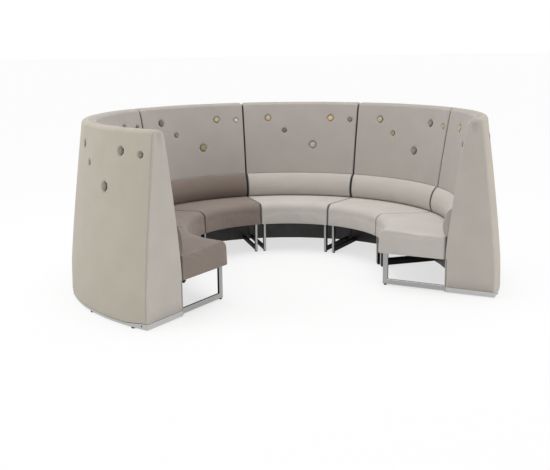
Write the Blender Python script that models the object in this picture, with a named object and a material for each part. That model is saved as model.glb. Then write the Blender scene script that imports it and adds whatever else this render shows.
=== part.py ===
"""Round booth sofa: six curved high-back modules in a three-quarter ring.

Every module has an upholstered back shell with sunk covered buttons, a padded
lumbar band, a crowned seat cushion on a board, a black kick panel, a steel
plinth on glides and two tube leg frames on levelling feet.

Units are metres and +Z is up.  The ring opens towards -Y, and the origin is on
the floor under the middle of the ring's bounding box.  Angles along the ring
are measured from +Y towards +X.
"""

import math

import bmesh
import bpy
from mathutils import Matrix, Vector

# Ring
MODULE_COUNT = 6
MODULE_ANGLE = math.radians(44)
ARC_STEPS = 6
BACK_RADIUS = 1.342
FOOT_DEPTH = 0.392
SEAT_DEPTH = 0.531
JOINT_GAP = 0.0003
PIECE_GAP = 0.0003
OVERRUN = 0.004
SMOOTH_ANGLE = math.radians(35)

# Plinth, and the floor rails beside it
GROUND_CLEARANCE = 0.01
RAIL_HEIGHT = 0.04
PLINTH_WIDTH = 0.025
GLIDE_RADIUS = 0.01
GLIDE_SIDES = 10
GLIDE_ACROSS_SHARES = (-0.4, 0.0, 0.4)

# Kick panel
KICK_THICKNESS = 0.009
KICK_LIFT = 0.002
KICK_TOP = 0.265
KICK_SETBACK = 0.003
NOTCH_CLEARANCE = 0.001

# Back shell
SHELL_HEIGHT = 1.326
RIM_THICKNESS = 0.097
RIM_FILLET = 0.032
RIM_STEPS = 3
INNER_LEAN = 0.144
INNER_LEAN_POWER = 1.31
INNER_HEIGHT_SHARES = (0.35, 0.7)
LEAN_RISE = 0.02
OUTER_LEAN_POWER = 1.2
OUTER_HEIGHT_SHARES = (0.0, 0.28, 0.55, 0.8)
PLINTH_REVEAL = 0.002
SHELL_SETBACK = 0.0015
SHELL_ROUND = 0.02
SHELL_ROUND_DEPTH = 0.008

# Sunk covered buttons: place across the module and up the back, and the size
BUTTON_RADIUS = 0.024
BUTTON_SINK = 0.007
BUTTON_CROWN = 0.001
BUTTON_SIDES = 10
INNER_BUTTON_ACROSS_SHARES = (-0.283, -0.142, 0.11, 0.26, 0.434)
OUTER_BUTTON_ACROSS_SHARES = (-0.247, -0.12, 0.106, 0.245, 0.41)
BUTTON_HEIGHT_SHARES = (0.888, 0.798, 0.694, 0.887, 0.878)
BUTTON_SIZE_SHARES = (1.0, 0.75, 1.15, 1.0, 0.75)
DISH_SHARE = 1.5
GROOVE_SHARE = 1.08
FLAT_SHARE = 0.6
SHOULDER_SHARE = 0.3

# Lumbar band
LUMBAR_TOP = 0.65
LUMBAR_DEPTH = 0.056
LUMBAR_UP_SHARES = (0.0, 0.14, 0.42, 0.66, 0.84, 0.95, 1.0)
LUMBAR_OUT_SHARES = (0.74, 0.88, 1.0, 0.93, 0.7, 0.4, 0.1)
LUMBAR_SETBACK = 0.002
LUMBAR_ROUND_DEPTH = 0.012

# Seat cushion
SEAT_HEIGHT = 0.45
SEAT_CROWN = 0.012
SEAT_UNDERSIDE = 0.261
SEAT_FRONT_BULGE = 0.006
SEAT_FRONT_FILLET = 0.065
SEAT_FILLET_STEPS = 4
SEAT_TOP_SHARES = (0.25, 0.5, 0.75)
SEAT_REAR_FILLET = 0.01
SEAT_HEM = 0.008
SEAT_SETBACK = 0.0015
SEAT_ROUND = 0.045
SEAT_ROUND_DEPTH = 0.014
ROUND_SHARES = (0.16, 0.45, 1.0)

# Seat board, which lies in a pocket under the cushion
BOARD_THICKNESS = 0.018
BOARD_FRONT_INSET = 0.023
BOARD_SETBACK = 0.012
POCKET_CLEARANCE = 0.002
LUG_LENGTH = 0.04
LUG_WIDTH = 0.02
LUG_DEPTH = 0.03
LUG_INWARD = 0.07

# Leg frames, parallel to the module's end planes
LEG_BOARD_MARGIN = 0.003
LEG_PLINTH_GAP = 0.005
TUBE_DEPTH = 0.04
TUBE_WIDTH = 0.02
TUBE_EDGE = 0.002
LEG_PLATE_LENGTH = 0.12
LEG_PLATE_WIDTH = 0.044
LEG_PLATE_THICKNESS = 0.005
LEG_PLATE_RECESS = 0.002

# Levelling feet, screwed into the leg frames
FOOT_RADIUS = 0.012
FOOT_CHAMFER = 0.002
FOOT_SIDES = 10
STEM_RADIUS = 0.004
STEM_LENGTH = 0.022
BORE_END_CLEARANCE = 0.004

# Places that follow from the sizes above
PLINTH_RADIUS = BACK_RADIUS + FOOT_DEPTH
RAIL_TOP = GROUND_CLEARANCE + RAIL_HEIGHT
SHELL_BOTTOM = RAIL_TOP + PIECE_GAP
SHELL_FOOT_RADIUS = PLINTH_RADIUS - PLINTH_REVEAL
RIM_OUTER_RADIUS = BACK_RADIUS + INNER_LEAN + RIM_THICKNESS
LEAN_START = KICK_TOP + LEAN_RISE
SEAT_REAR = BACK_RADIUS - PIECE_GAP
SEAT_FRONT = BACK_RADIUS - SEAT_DEPTH
SEAT_EDGE_HEIGHT = SEAT_HEIGHT - SEAT_CROWN
LEG_PLATE_BOTTOM = SEAT_UNDERSIDE + LEG_PLATE_RECESS
BOARD_BOTTOM = LEG_PLATE_BOTTOM + LEG_PLATE_THICKNESS + PIECE_GAP
BOARD_FRONT = SEAT_FRONT + BOARD_FRONT_INSET
LEG_FRONT = BOARD_FRONT + LEG_BOARD_MARGIN
LEG_INWARD = PLINTH_WIDTH + LEG_PLINTH_GAP + TUBE_WIDTH / 2

MATERIALS = {
    "fabric_outer": ((0.48, 0.43, 0.37), 0.9, 0.0),
    "fabric_inner": ((0.36, 0.34, 0.31), 0.9, 0.0),
    "fabric_taupe": ((0.22, 0.18, 0.16), 0.85, 0.0),
    "fabric_pale": ((0.55, 0.52, 0.48), 0.85, 0.0),
    "black_board": ((0.022, 0.02, 0.019), 0.5, 0.0),
    "satin_steel": ((0.55, 0.56, 0.57), 0.25, 1.0),
    "black_plastic": ((0.02, 0.02, 0.02), 0.55, 0.0),
}


def clear_scene():
    """Remove whatever the file holds."""
    for item in list(bpy.data.objects):
        bpy.data.objects.remove(item, do_unlink=True)


def make_materials():
    """Return one Principled material for each finish."""
    made = {}
    for name, (colour, roughness, metallic) in MATERIALS.items():
        material = bpy.data.materials.new(name)
        material.use_nodes = True
        shader = material.node_tree.nodes["Principled BSDF"]
        shader.inputs["Base Color"].default_value = (*colour, 1.0)
        shader.inputs["Roughness"].default_value = roughness
        shader.inputs["Metallic"].default_value = metallic
        made[name] = material
    return made


# Curved pieces are lofted through sections that stand across the arc


def ring_point(radius, height, angle, setback=0.0):
    """Point of a radial plane, or of a plane set back from it towards the module's middle."""
    if setback:
        angle -= math.copysign(math.asin(setback / radius), angle)
    return Vector((radius * math.sin(angle), radius * math.cos(angle), height))


def stations(end_setback):
    """Angles and setbacks of a curved piece's sections, from one end to the other."""
    half = MODULE_ANGLE / 2
    setbacks = [end_setback]
    setbacks += [SEAT_ROUND * share for share in ROUND_SHARES if SEAT_ROUND * share > end_setback]
    middle = [(MODULE_ANGLE * step / ARC_STEPS - half, 0.0) for step in range(1, ARC_STEPS)]
    near_end = [(-half, setback) for setback in setbacks]
    far_end = [(half, setback) for setback in reversed(setbacks)]
    return near_end + middle + far_end


def end_inset(setback, run, depth):
    """How far a padded outline draws in at a section near the piece's end."""
    if not setback or setback >= run:
        return 0.0
    return depth * (1 - math.sqrt(1 - (1 - setback / run) ** 2))


def inset_outline(outline, amount):
    """Move each edge of a closed anticlockwise (radius, height) outline inwards."""
    if not amount:
        return outline
    moved = []
    for index, point in enumerate(outline):
        before = Vector(point) - Vector(outline[index - 1])
        after = Vector(outline[(index + 1) % len(outline)]) - Vector(point)
        normals = [Vector((-edge.y, edge.x)).normalized() for edge in (before, after)]
        mitre = (normals[0] + normals[1]) / (1 + normals[0].dot(normals[1]))
        moved.append(tuple(Vector(point) + mitre * amount))
    return moved


def fillet(centre, radius, start, end, steps):
    """Points of an arc in the (radius, height) plane."""
    angles = [start + (end - start) * step / steps for step in range(steps + 1)]
    return [(centre[0] + radius * math.cos(a), centre[1] + radius * math.sin(a)) for a in angles]


def add_loft(mesh, sections):
    """Add a closed body through sections with as many points each."""
    rings = [[mesh.verts.new(point) for point in section] for section in sections]
    for near, far in zip(rings, rings[1:]):
        for index, vertex in enumerate(near):
            previous = index - 1
            mesh.faces.new((near[previous], vertex, far[index], far[previous]))
    mesh.faces.new(list(reversed(rings[0])))
    mesh.faces.new(rings[-1])


def finish_mesh(mesh, name):
    """Turn a bmesh into mesh data with its faces outward and its round parts smooth."""
    bmesh.ops.recalc_face_normals(mesh, faces=mesh.faces)
    data = bpy.data.meshes.new(name)
    mesh.to_mesh(data)
    mesh.free()
    data.shade_smooth()
    data.set_sharp_from_angle(angle=SMOOTH_ANGLE)
    return data


def lofted(name, sections):
    """Mesh data of one lofted body."""
    mesh = bmesh.new()
    add_loft(mesh, sections)
    return finish_mesh(mesh, name)


def arc_sections(inner, outer, bottom, top, end_setback):
    """Rectangular sections of a block that follows the arc of a module."""
    outline = [(inner, bottom), (outer, bottom), (outer, top), (inner, top)]
    return [[ring_point(radius, height, angle, setback) for radius, height in outline]
            for angle, setback in stations(end_setback)]


def turned_sections(profile, sides):
    """Circles along Z, for each (radius, height) of a turned profile."""
    turns = [2 * math.pi * side / sides for side in range(sides)]
    return [[Vector((radius * math.cos(turn), radius * math.sin(turn), height))
             for turn in turns] for radius, height in profile]


def box_sections(low, high):
    """Bottom and top of an upright box."""
    return [[Vector((low[0], low[1], height)), Vector((high[0], low[1], height)),
             Vector((high[0], high[1], height)), Vector((low[0], high[1], height))]
            for height in (low[2], high[2])]


def placed(sections, place):
    """Sections moved and turned to a place."""
    return [[place @ point for point in section] for section in sections]


def combined(data, tool_sections, operation):
    """Cut bodies from a mesh, or join bodies to it, and return the new mesh."""
    body = bpy.data.objects.new("body", data)
    tools = bmesh.new()
    for sections in tool_sections:
        add_loft(tools, sections)
    helper = bpy.data.objects.new("helper", finish_mesh(tools, "helper"))
    helper.hide_render = True
    helper.display_type = "WIRE"
    for item in (body, helper):
        bpy.context.scene.collection.objects.link(item)
    modifier = body.modifiers.new("combine", "BOOLEAN")
    modifier.operation = operation
    modifier.solver = "EXACT"
    modifier.object = helper
    graph = bpy.context.evaluated_depsgraph_get()
    result = bpy.data.meshes.new_from_object(body.evaluated_get(graph))
    result.name = data.name
    for item in (body, helper):
        bpy.data.objects.remove(item, do_unlink=True)
    return result


# Back shell


def inner_radius(height):
    """Radius of the back's inner face, upright at first and then leaning out."""
    share = max(0.0, (height - LEAN_START) / (SHELL_HEIGHT - LEAN_START))
    return BACK_RADIUS + INNER_LEAN * share ** INNER_LEAN_POWER


def outer_radius(height):
    """Radius of the back's outer face, which leans in towards the rim."""
    share = max(0.0, (height - SHELL_BOTTOM) / (SHELL_HEIGHT - SHELL_BOTTOM))
    return SHELL_FOOT_RADIUS - (SHELL_FOOT_RADIUS - RIM_OUTER_RADIUS) * share ** OUTER_LEAN_POWER


def inner_face():
    """Inner face's (radius, height) points, from the kick panel up to the rim."""
    top = SHELL_HEIGHT - RIM_FILLET
    heights = [LEAN_START, SEAT_EDGE_HEIGHT, LUMBAR_TOP]
    heights += [LUMBAR_TOP + (top - LUMBAR_TOP) * share for share in INNER_HEIGHT_SHARES]
    return [(inner_radius(height), height) for height in heights + [top]]


def outer_face():
    """Outer face's (radius, height) points, from the plinth up to the rim."""
    top = SHELL_HEIGHT - RIM_FILLET
    heights = [SHELL_BOTTOM + (top - SHELL_BOTTOM) * share for share in OUTER_HEIGHT_SHARES]
    return [(outer_radius(height), height) for height in heights + [top]]


def shell_outline():
    """Closed section of the shell, anticlockwise from its inner bottom corner."""
    step_radius = BACK_RADIUS + KICK_THICKNESS + PIECE_GAP
    step_height = KICK_TOP + PIECE_GAP
    centre_height = SHELL_HEIGHT - RIM_FILLET
    outer = outer_face()
    inner = inner_face()
    outer_rim = fillet((outer[-1][0] - RIM_FILLET, centre_height), RIM_FILLET,
                       0.0, math.pi / 2, RIM_STEPS)
    inner_rim = fillet((inner[-1][0] + RIM_FILLET, centre_height), RIM_FILLET,
                       math.pi / 2, math.pi, RIM_STEPS)
    outline = [(step_radius, SHELL_BOTTOM)] + outer[:-1] + outer_rim + inner_rim
    outline += list(reversed(inner[:-1]))
    return outline + [(BACK_RADIUS, step_height), (step_radius, step_height)]


def face_radius(face, height, angle):
    """Radius of the faceted face at a height and an angle, and its slope there."""
    below, above = next((a, b) for a, b in zip(face, face[1:]) if b[1] >= height)
    slope = (above[0] - below[0]) / (above[1] - below[1])
    radius = below[0] + slope * (height - below[1])
    angles = [a - math.copysign(math.asin(setback / radius), a) if setback else a
              for a, setback in stations(SHELL_SETBACK)]
    near, far = next((a, b) for a, b in zip(angles, angles[1:]) if b >= angle)
    return radius * math.cos((far - near) / 2) / math.cos(angle - (near + far) / 2), slope


def button_relief(face, side, across, height_share, size_share):
    """Turned cutter that leaves a sunk ring with the covered button standing in it."""
    height = SHELL_HEIGHT * height_share
    angle = MODULE_ANGLE * across * -side
    radius, slope = face_radius(face, height, angle)
    outward = Vector((math.sin(angle), math.cos(angle), 0.0)) * side
    normal = (outward - Vector((0.0, 0.0, slope * side))).normalized()
    turn = normal.to_track_quat("Z", "Y").to_matrix().to_4x4()
    place = Matrix.Translation(ring_point(radius, height, angle)) @ turn
    button = BUTTON_RADIUS * size_share
    profile = [(button * DISH_SHARE + OVERRUN, OVERRUN), (button * GROOVE_SHARE, -BUTTON_SINK),
               (button, -BUTTON_SINK * SHOULDER_SHARE), (button * FLAT_SHARE, BUTTON_CROWN)]
    return placed(turned_sections(profile, BUTTON_SIDES), place)


def back_shell():
    """Upholstered back: a lofted section with rounded ends and buttons on both faces."""
    outline = shell_outline()
    sections = []
    for angle, setback in stations(SHELL_SETBACK):
        drawn_in = end_inset(setback, SHELL_ROUND, SHELL_ROUND_DEPTH)
        section = inset_outline(outline, drawn_in)
        sections.append([ring_point(radius, height, angle, setback) for radius, height in section])
    reliefs = []
    for face, side, across_shares in ((inner_face(), -1, INNER_BUTTON_ACROSS_SHARES),
                                      (outer_face(), 1, OUTER_BUTTON_ACROSS_SHARES)):
        places = zip(across_shares, BUTTON_HEIGHT_SHARES, BUTTON_SIZE_SHARES)
        reliefs += [button_relief(face, side, *place) for place in places]
    return combined(lofted("back_shell", sections), reliefs, "DIFFERENCE")


def mark_inner_faces(data):
    """Give the shell's inner face the second material slot."""
    for polygon in data.polygons:
        radial = Vector((polygon.center.x, polygon.center.y, 0.0)).normalized()
        facing_in = polygon.normal.dot(radial) < -math.cos(math.radians(60))
        polygon.material_index = int(facing_in)


# Lumbar band and seat


def lumbar_band():
    """Padded band across the back, with its roll at the front and a thin top seam."""
    bottom = SEAT_EDGE_HEIGHT + PIECE_GAP
    face = [point for point in inner_face() if SEAT_EDGE_HEIGHT <= point[1] <= LUMBAR_TOP]
    (low_radius, low), (high_radius, high) = face

    def back_radius(height):
        share = (height - low) / (high - low)
        return low_radius + (high_radius - low_radius) * share - PIECE_GAP

    front = [(back_radius(height) - LUMBAR_DEPTH * out, height) for out, height in
             ((out, bottom + (LUMBAR_TOP - bottom) * up)
              for up, out in zip(LUMBAR_UP_SHARES, LUMBAR_OUT_SHARES))]
    outline = [(back_radius(bottom), bottom), (back_radius(LUMBAR_TOP), LUMBAR_TOP)]
    outline += list(reversed(front))
    sections = []
    for angle, setback in stations(LUMBAR_SETBACK):
        drawn_in = end_inset(setback, SHELL_ROUND, LUMBAR_ROUND_DEPTH)
        section = [(min(back_radius(height), radius + drawn_in), height)
                   for radius, height in outline]
        sections.append([ring_point(radius, height, angle, setback) for radius, height in section])
    return lofted("lumbar_band", sections)


def seat_outline(across):
    """Closed section of the cushion at a share of the half module from its middle."""
    crown_start = SEAT_FRONT + SEAT_FRONT_FILLET
    crown_end = BACK_RADIUS - LUMBAR_DEPTH
    swell = 1 - across ** 2
    front = fillet((crown_start, SEAT_EDGE_HEIGHT - SEAT_FRONT_FILLET), SEAT_FRONT_FILLET,
                   math.pi, math.pi / 2, SEAT_FILLET_STEPS)
    middle = (SEAT_UNDERSIDE + SEAT_EDGE_HEIGHT) / 2
    top = [(crown_start + (crown_end - crown_start) * share,
            SEAT_EDGE_HEIGHT + SEAT_CROWN * swell * math.sin(math.pi * share))
           for share in SEAT_TOP_SHARES]
    clockwise = [(SEAT_FRONT + 2 * SEAT_HEM, SEAT_UNDERSIDE),
                 (SEAT_FRONT + SEAT_HEM / 2, SEAT_UNDERSIDE + SEAT_HEM),
                 (SEAT_FRONT - SEAT_FRONT_BULGE * swell, middle)]
    clockwise += front + top
    clockwise += [(crown_end, SEAT_EDGE_HEIGHT), (SEAT_REAR - SEAT_REAR_FILLET, SEAT_EDGE_HEIGHT),
                  (SEAT_REAR, SEAT_EDGE_HEIGHT - SEAT_REAR_FILLET), (SEAT_REAR, SEAT_UNDERSIDE)]
    return list(reversed(clockwise))


def seat_cushion():
    """Seat cushion with crown, rounded front and drawn-in ends, over its board's pocket."""
    sections = []
    for angle, setback in stations(SEAT_SETBACK):
        outline = seat_outline(angle / (MODULE_ANGLE / 2))
        outline = inset_outline(outline, end_inset(setback, SEAT_ROUND, SEAT_ROUND_DEPTH))
        sections.append([ring_point(radius, max(height, SEAT_UNDERSIDE), angle, setback)
                         for radius, height in outline])
    ceiling = BOARD_BOTTOM + BOARD_THICKNESS + PIECE_GAP
    pocket = arc_sections(BOARD_FRONT - POCKET_CLEARANCE, SEAT_REAR + OVERRUN,
                          SEAT_UNDERSIDE - OVERRUN, ceiling, BOARD_SETBACK - POCKET_CLEARANCE)
    return combined(lofted("seat_cushion", sections), [pocket], "DIFFERENCE")


def end_place(side, inward):
    """Frame whose X runs out along a module's end plane, moved towards its middle."""
    angle = side * MODULE_ANGLE / 2
    shift = Vector((-math.cos(angle), math.sin(angle), 0.0)) * side * inward
    return Matrix.Translation(shift) @ Matrix.Rotation(math.pi / 2 - angle, 4, "Z")


def seat_board():
    """Board under the cushion, with two lugs that reach down at its rear corners."""
    board = arc_sections(BOARD_FRONT, SEAT_REAR, BOARD_BOTTOM, BOARD_BOTTOM + BOARD_THICKNESS,
                         BOARD_SETBACK)
    rear = math.sqrt(SEAT_REAR ** 2 - LUG_INWARD ** 2) - OVERRUN
    lug = box_sections((rear - LUG_LENGTH, -LUG_WIDTH / 2, BOARD_BOTTOM - LUG_DEPTH),
                       (rear, LUG_WIDTH / 2, BOARD_BOTTOM + OVERRUN))
    lugs = [placed(lug, end_place(side, LUG_INWARD)) for side in (-1, 1)]
    return combined(lofted("seat_board", board), lugs, "UNION")


# Base


def kick_panel():
    """Black panel over the shell's foot, notched over the leg frames' rails."""
    panel = arc_sections(BACK_RADIUS, BACK_RADIUS + KICK_THICKNESS,
                         GROUND_CLEARANCE + KICK_LIFT, KICK_TOP, KICK_SETBACK)
    half_width = TUBE_WIDTH / 2 + NOTCH_CLEARANCE
    notch = box_sections((BACK_RADIUS - 2 * KICK_THICKNESS, -half_width, 0.0),
                         (BACK_RADIUS + 2 * KICK_THICKNESS, half_width, RAIL_TOP + NOTCH_CLEARANCE))
    notches = [placed(notch, end_place(side, LEG_INWARD)) for side in (-1, 1)]
    return combined(lofted("kick_panel", panel), notches, "DIFFERENCE")


def plinth_outline():
    """Plan of the plinth: a curved rail with a straight rail at each end, open inside."""
    setback = JOINT_GAP / 2
    band_inner = PLINTH_RADIUS - PLINTH_WIDTH
    rail_inner = BACK_RADIUS + KICK_THICKNESS + PIECE_GAP
    middle = [angle for angle, depth in stations(setback) if not depth]
    half = MODULE_ANGLE / 2
    outer = [ring_point(PLINTH_RADIUS, 0.0, -half, setback)]
    outer += [ring_point(PLINTH_RADIUS, 0.0, angle) for angle in middle]
    outer += [ring_point(PLINTH_RADIUS, 0.0, half, setback)]
    far_rail = [ring_point(rail_inner, 0.0, half, setback),
                ring_point(rail_inner, 0.0, half, setback + PLINTH_WIDTH),
                ring_point(band_inner, 0.0, half, setback + PLINTH_WIDTH)]
    inner = [ring_point(band_inner, 0.0, angle) for angle in reversed(middle)]
    near_rail = [ring_point(point_radius, 0.0, -half, depth) for point_radius, depth in
                 ((band_inner, setback + PLINTH_WIDTH), (rail_inner, setback + PLINTH_WIDTH),
                  (rail_inner, setback))]
    return outer + far_rail + inner + near_rail


def plinth():
    """Steel plinth rail with three glides under its curved side."""
    plan = plinth_outline()
    sections = [[Vector((point.x, point.y, height)) for point in plan]
                for height in (GROUND_CLEARANCE, RAIL_TOP)]
    radius = PLINTH_RADIUS - PLINTH_WIDTH / 2
    glide = turned_sections([(GLIDE_RADIUS - FOOT_CHAMFER, 0.0), (GLIDE_RADIUS, FOOT_CHAMFER),
                             (GLIDE_RADIUS, GROUND_CLEARANCE + OVERRUN)], GLIDE_SIDES)
    glides = [placed(glide, Matrix.Translation(ring_point(radius, 0.0, MODULE_ANGLE * share)))
              for share in GLIDE_ACROSS_SHARES]
    return combined(lofted("plinth", sections), glides, "UNION")


def leg_frame():
    """Tube upright and floor rail in one plane, with a mounting plate and a foot's bore."""
    half_width = TUBE_WIDTH / 2
    upright_back = LEG_FRONT + TUBE_DEPTH
    upright_top = LEG_PLATE_BOTTOM + LEG_PLATE_THICKNESS / 2
    reach = (PLINTH_RADIUS - PLINTH_WIDTH) * math.cos(MODULE_ANGLE / ARC_STEPS / 2) - PIECE_GAP
    rail_end = math.sqrt(reach ** 2 - (LEG_INWARD + half_width) ** 2)
    outline = [(LEG_FRONT, GROUND_CLEARANCE), (rail_end, GROUND_CLEARANCE), (rail_end, RAIL_TOP),
               (upright_back, RAIL_TOP), (upright_back, upright_top), (LEG_FRONT, upright_top)]
    frame = bmesh.new()
    add_loft(frame, [[Vector((run, across, height)) for run, height in outline]
                     for across in (-half_width, half_width)])
    bmesh.ops.recalc_face_normals(frame, faces=frame.faces)
    bmesh.ops.bevel(frame, geom=list(frame.edges), offset=TUBE_EDGE, segments=1,
                    affect="EDGES", profile=0.5)
    plate = box_sections((LEG_FRONT, -LEG_PLATE_WIDTH / 2, LEG_PLATE_BOTTOM),
                         (LEG_FRONT + LEG_PLATE_LENGTH, LEG_PLATE_WIDTH / 2,
                          LEG_PLATE_BOTTOM + LEG_PLATE_THICKNESS))
    body = combined(finish_mesh(frame, "leg_frame"), [plate], "UNION")
    bore_radius = STEM_RADIUS + PIECE_GAP
    bore_top = GROUND_CLEARANCE + STEM_LENGTH + BORE_END_CLEARANCE
    bore = turned_sections([(bore_radius, 0.0), (bore_radius, bore_top)], FOOT_SIDES)
    return combined(body, [placed(bore, foot_place())], "DIFFERENCE")


def foot_place():
    """Place of a levelling foot's axis in its leg frame."""
    return Matrix.Translation((LEG_FRONT + TUBE_DEPTH / 2, 0.0, 0.0))


def levelling_foot():
    """Foot pad on a threaded stem, modelled about its own axis and screwed home."""
    pad_top = GROUND_CLEARANCE - PIECE_GAP
    profile = [(FOOT_RADIUS - FOOT_CHAMFER, 0.0), (FOOT_RADIUS, FOOT_CHAMFER),
               (FOOT_RADIUS, pad_top), (STEM_RADIUS, pad_top),
               (STEM_RADIUS, pad_top + STEM_LENGTH)]
    return lofted("levelling_foot", turned_sections(profile, FOOT_SIDES))


# Assembly


def ring_centre():
    """Centre of the ring when the origin is under the middle of its bounding box."""
    half_ring = MODULE_COUNT * MODULE_ANGLE / 2
    return Vector((0.0, -PLINTH_RADIUS * (1 + math.cos(half_ring)) / 2, 0.0))


def make_meshes():
    """Build each kind of piece once: the modules share them."""
    meshes = {"back_shell": back_shell(), "lumbar_band": lumbar_band(),
              "seat_cushion": seat_cushion(), "seat_board": seat_board(),
              "kick_panel": kick_panel(), "plinth": plinth(),
              "leg_frame": leg_frame(), "levelling_foot": levelling_foot()}
    mark_inner_faces(meshes["back_shell"])
    return meshes


def add_piece(name, data, parent, materials, place=None):
    """Place one named piece in its module, with materials of its own."""
    piece = bpy.data.objects.new(name, data)
    bpy.context.scene.collection.objects.link(piece)
    piece.parent = parent
    if place:
        piece.matrix_local = place
    for index, material in enumerate(materials):
        if index >= len(piece.material_slots):
            data.materials.append(material)
        piece.material_slots[index].link = "OBJECT"
        piece.material_slots[index].material = material
    return piece


def add_module(number, meshes, finishes):
    """Build one module round the ring's centre and turn it to its place."""
    module = bpy.data.objects.new(f"module_{number}", None)
    bpy.context.scene.collection.objects.link(module)
    module.location = ring_centre()
    module.rotation_euler.z = -MODULE_ANGLE * (number - (MODULE_COUNT + 1) / 2)
    seat_finish = finishes["fabric_taupe" if 2 * number <= MODULE_COUNT else "fabric_pale"]
    for kind, slots in (("back_shell", [finishes["fabric_outer"], finishes["fabric_inner"]]),
                        ("lumbar_band", [seat_finish]), ("seat_cushion", [seat_finish]),
                        ("seat_board", [finishes["black_board"]]),
                        ("kick_panel", [finishes["black_board"]]),
                        ("plinth", [finishes["satin_steel"]])):
        add_piece(f"{kind}_{number}", meshes[kind], module, slots)
    for side, word in ((-1, "left"), (1, "right")):
        place = end_place(side, LEG_INWARD)
        add_piece(f"leg_frame_{number}_{word}", meshes["leg_frame"], module,
                  [finishes["satin_steel"]], place)
        add_piece(f"foot_{number}_{word}", meshes["levelling_foot"], module,
                  [finishes["black_plastic"]], place @ foot_place())


def main():
    """Build the whole sofa."""
    clear_scene()
    finishes = make_materials()
    meshes = make_meshes()
    for number in range(1, MODULE_COUNT + 1):
        add_module(number, meshes, finishes)
    bpy.context.view_layer.update()


main()
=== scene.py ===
"""Looks of a round booth sofa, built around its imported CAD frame.

Six high-back modules stand in an open ring.  The soft pieces of each module are made
here: a back cover with sunk buttons, a lumbar pad and a seat pad.  So are the base
rails, with their glides and screws.  The boards, leg frames and feet are the frame's
own, with finer finishes.

Everything is in metres with +Z up.  Angles round the ring run from +Y towards +X,
and a module's own angles run from its middle.
"""

from __future__ import annotations

import logging
import math
from dataclasses import dataclass, field
from enum import Enum
from typing import ClassVar

import bmesh
import bpy
import numpy as np
from mathutils import Matrix, Vector


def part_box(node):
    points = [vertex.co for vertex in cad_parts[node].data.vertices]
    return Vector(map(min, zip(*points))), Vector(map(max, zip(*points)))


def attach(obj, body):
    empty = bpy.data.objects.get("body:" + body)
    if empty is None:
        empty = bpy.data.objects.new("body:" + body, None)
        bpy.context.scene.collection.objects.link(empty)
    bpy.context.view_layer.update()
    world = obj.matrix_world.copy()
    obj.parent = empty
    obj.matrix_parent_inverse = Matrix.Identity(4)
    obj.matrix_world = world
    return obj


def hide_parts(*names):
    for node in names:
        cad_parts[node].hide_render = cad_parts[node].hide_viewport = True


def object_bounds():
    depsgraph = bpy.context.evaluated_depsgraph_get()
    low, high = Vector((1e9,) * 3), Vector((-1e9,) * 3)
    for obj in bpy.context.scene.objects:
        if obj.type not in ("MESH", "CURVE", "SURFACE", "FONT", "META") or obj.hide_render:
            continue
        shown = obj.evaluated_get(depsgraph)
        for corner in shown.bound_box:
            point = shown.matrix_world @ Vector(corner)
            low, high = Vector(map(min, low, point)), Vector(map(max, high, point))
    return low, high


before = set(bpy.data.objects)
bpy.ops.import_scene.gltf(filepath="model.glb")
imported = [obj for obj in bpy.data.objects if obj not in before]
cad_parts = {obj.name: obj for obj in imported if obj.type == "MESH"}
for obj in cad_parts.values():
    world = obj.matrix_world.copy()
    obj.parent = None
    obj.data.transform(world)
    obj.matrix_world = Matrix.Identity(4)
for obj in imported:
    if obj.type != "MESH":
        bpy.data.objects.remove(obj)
CAD_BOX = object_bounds()
LOG = logging.getLogger("sofa")
BODY = "sofa"
CLOTH_MAP = "cloth"
# Name of the point attribute that holds painted shade, from 0 to 1, which darkens the cloth's
# colour.
PAINTED_SHADE = "crease"
CAP_SHARES = (0.86, 0.68, 0.46, 0.24)
MILLIMETRE = 0.001
Triple = tuple[float, float, float]
Socket = bpy.types.NodeSocket


# Mesh helpers


def new_object(name: str, data: bpy.types.ID) -> bpy.types.Object:
    """Link a new object, at the origin, with a mesh, a lamp or a camera as its data."""
    made = bpy.data.objects.new(name, data)
    bpy.context.scene.collection.objects.link(made)
    return made


def mesh_from(name: str, points: np.ndarray, faces: list[tuple[int, ...]]) -> bpy.types.Mesh:
    """Make a smooth mesh with its faces outward.

    Args:
        name: Name of the mesh.
        points: Vertices, one row each.
        faces: Vertex indices of every face.

    Returns:
        The mesh.
    """
    mesh = bpy.data.meshes.new(name)
    mesh.from_pydata(points.tolist(), [], faces)
    mesh.validate()
    shape = bmesh.new()
    shape.from_mesh(mesh)
    bmesh.ops.recalc_face_normals(shape, faces=shape.faces)
    shape.to_mesh(mesh)
    shape.free()
    mesh.shade_smooth()
    return mesh


def evaluated_mesh(item: bpy.types.Object) -> bpy.types.Mesh:
    """Return a plain copy of an object's mesh with its modifiers applied."""
    graph = bpy.context.evaluated_depsgraph_get()
    return bpy.data.meshes.new_from_object(item.evaluated_get(graph))


def vertices_of(mesh: bpy.types.Mesh) -> np.ndarray:
    """Return a mesh's vertices, one row each."""
    flat = np.empty(len(mesh.vertices) * 3)
    mesh.vertices.foreach_get("co", flat)
    return flat.reshape(-1, 3)


def set_vertices(mesh: bpy.types.Mesh, points: np.ndarray) -> None:
    """Move a mesh's vertices to new places."""
    mesh.vertices.foreach_set("co", points.ravel())
    mesh.update()


def smooth_step(values: np.ndarray) -> np.ndarray:
    """Return values clipped to 0 to 1 and eased at both ends."""
    clipped = np.clip(values, 0.0, 1.0)
    return clipped * clipped * (3.0 - 2.0 * clipped)


def ramp(values: float | np.ndarray, start: float | np.ndarray,
         length: float | np.ndarray) -> np.ndarray:
    """Return values eased from 0 at a start to 1 at a length beyond it."""
    return smooth_step((values - start) / length)


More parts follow.
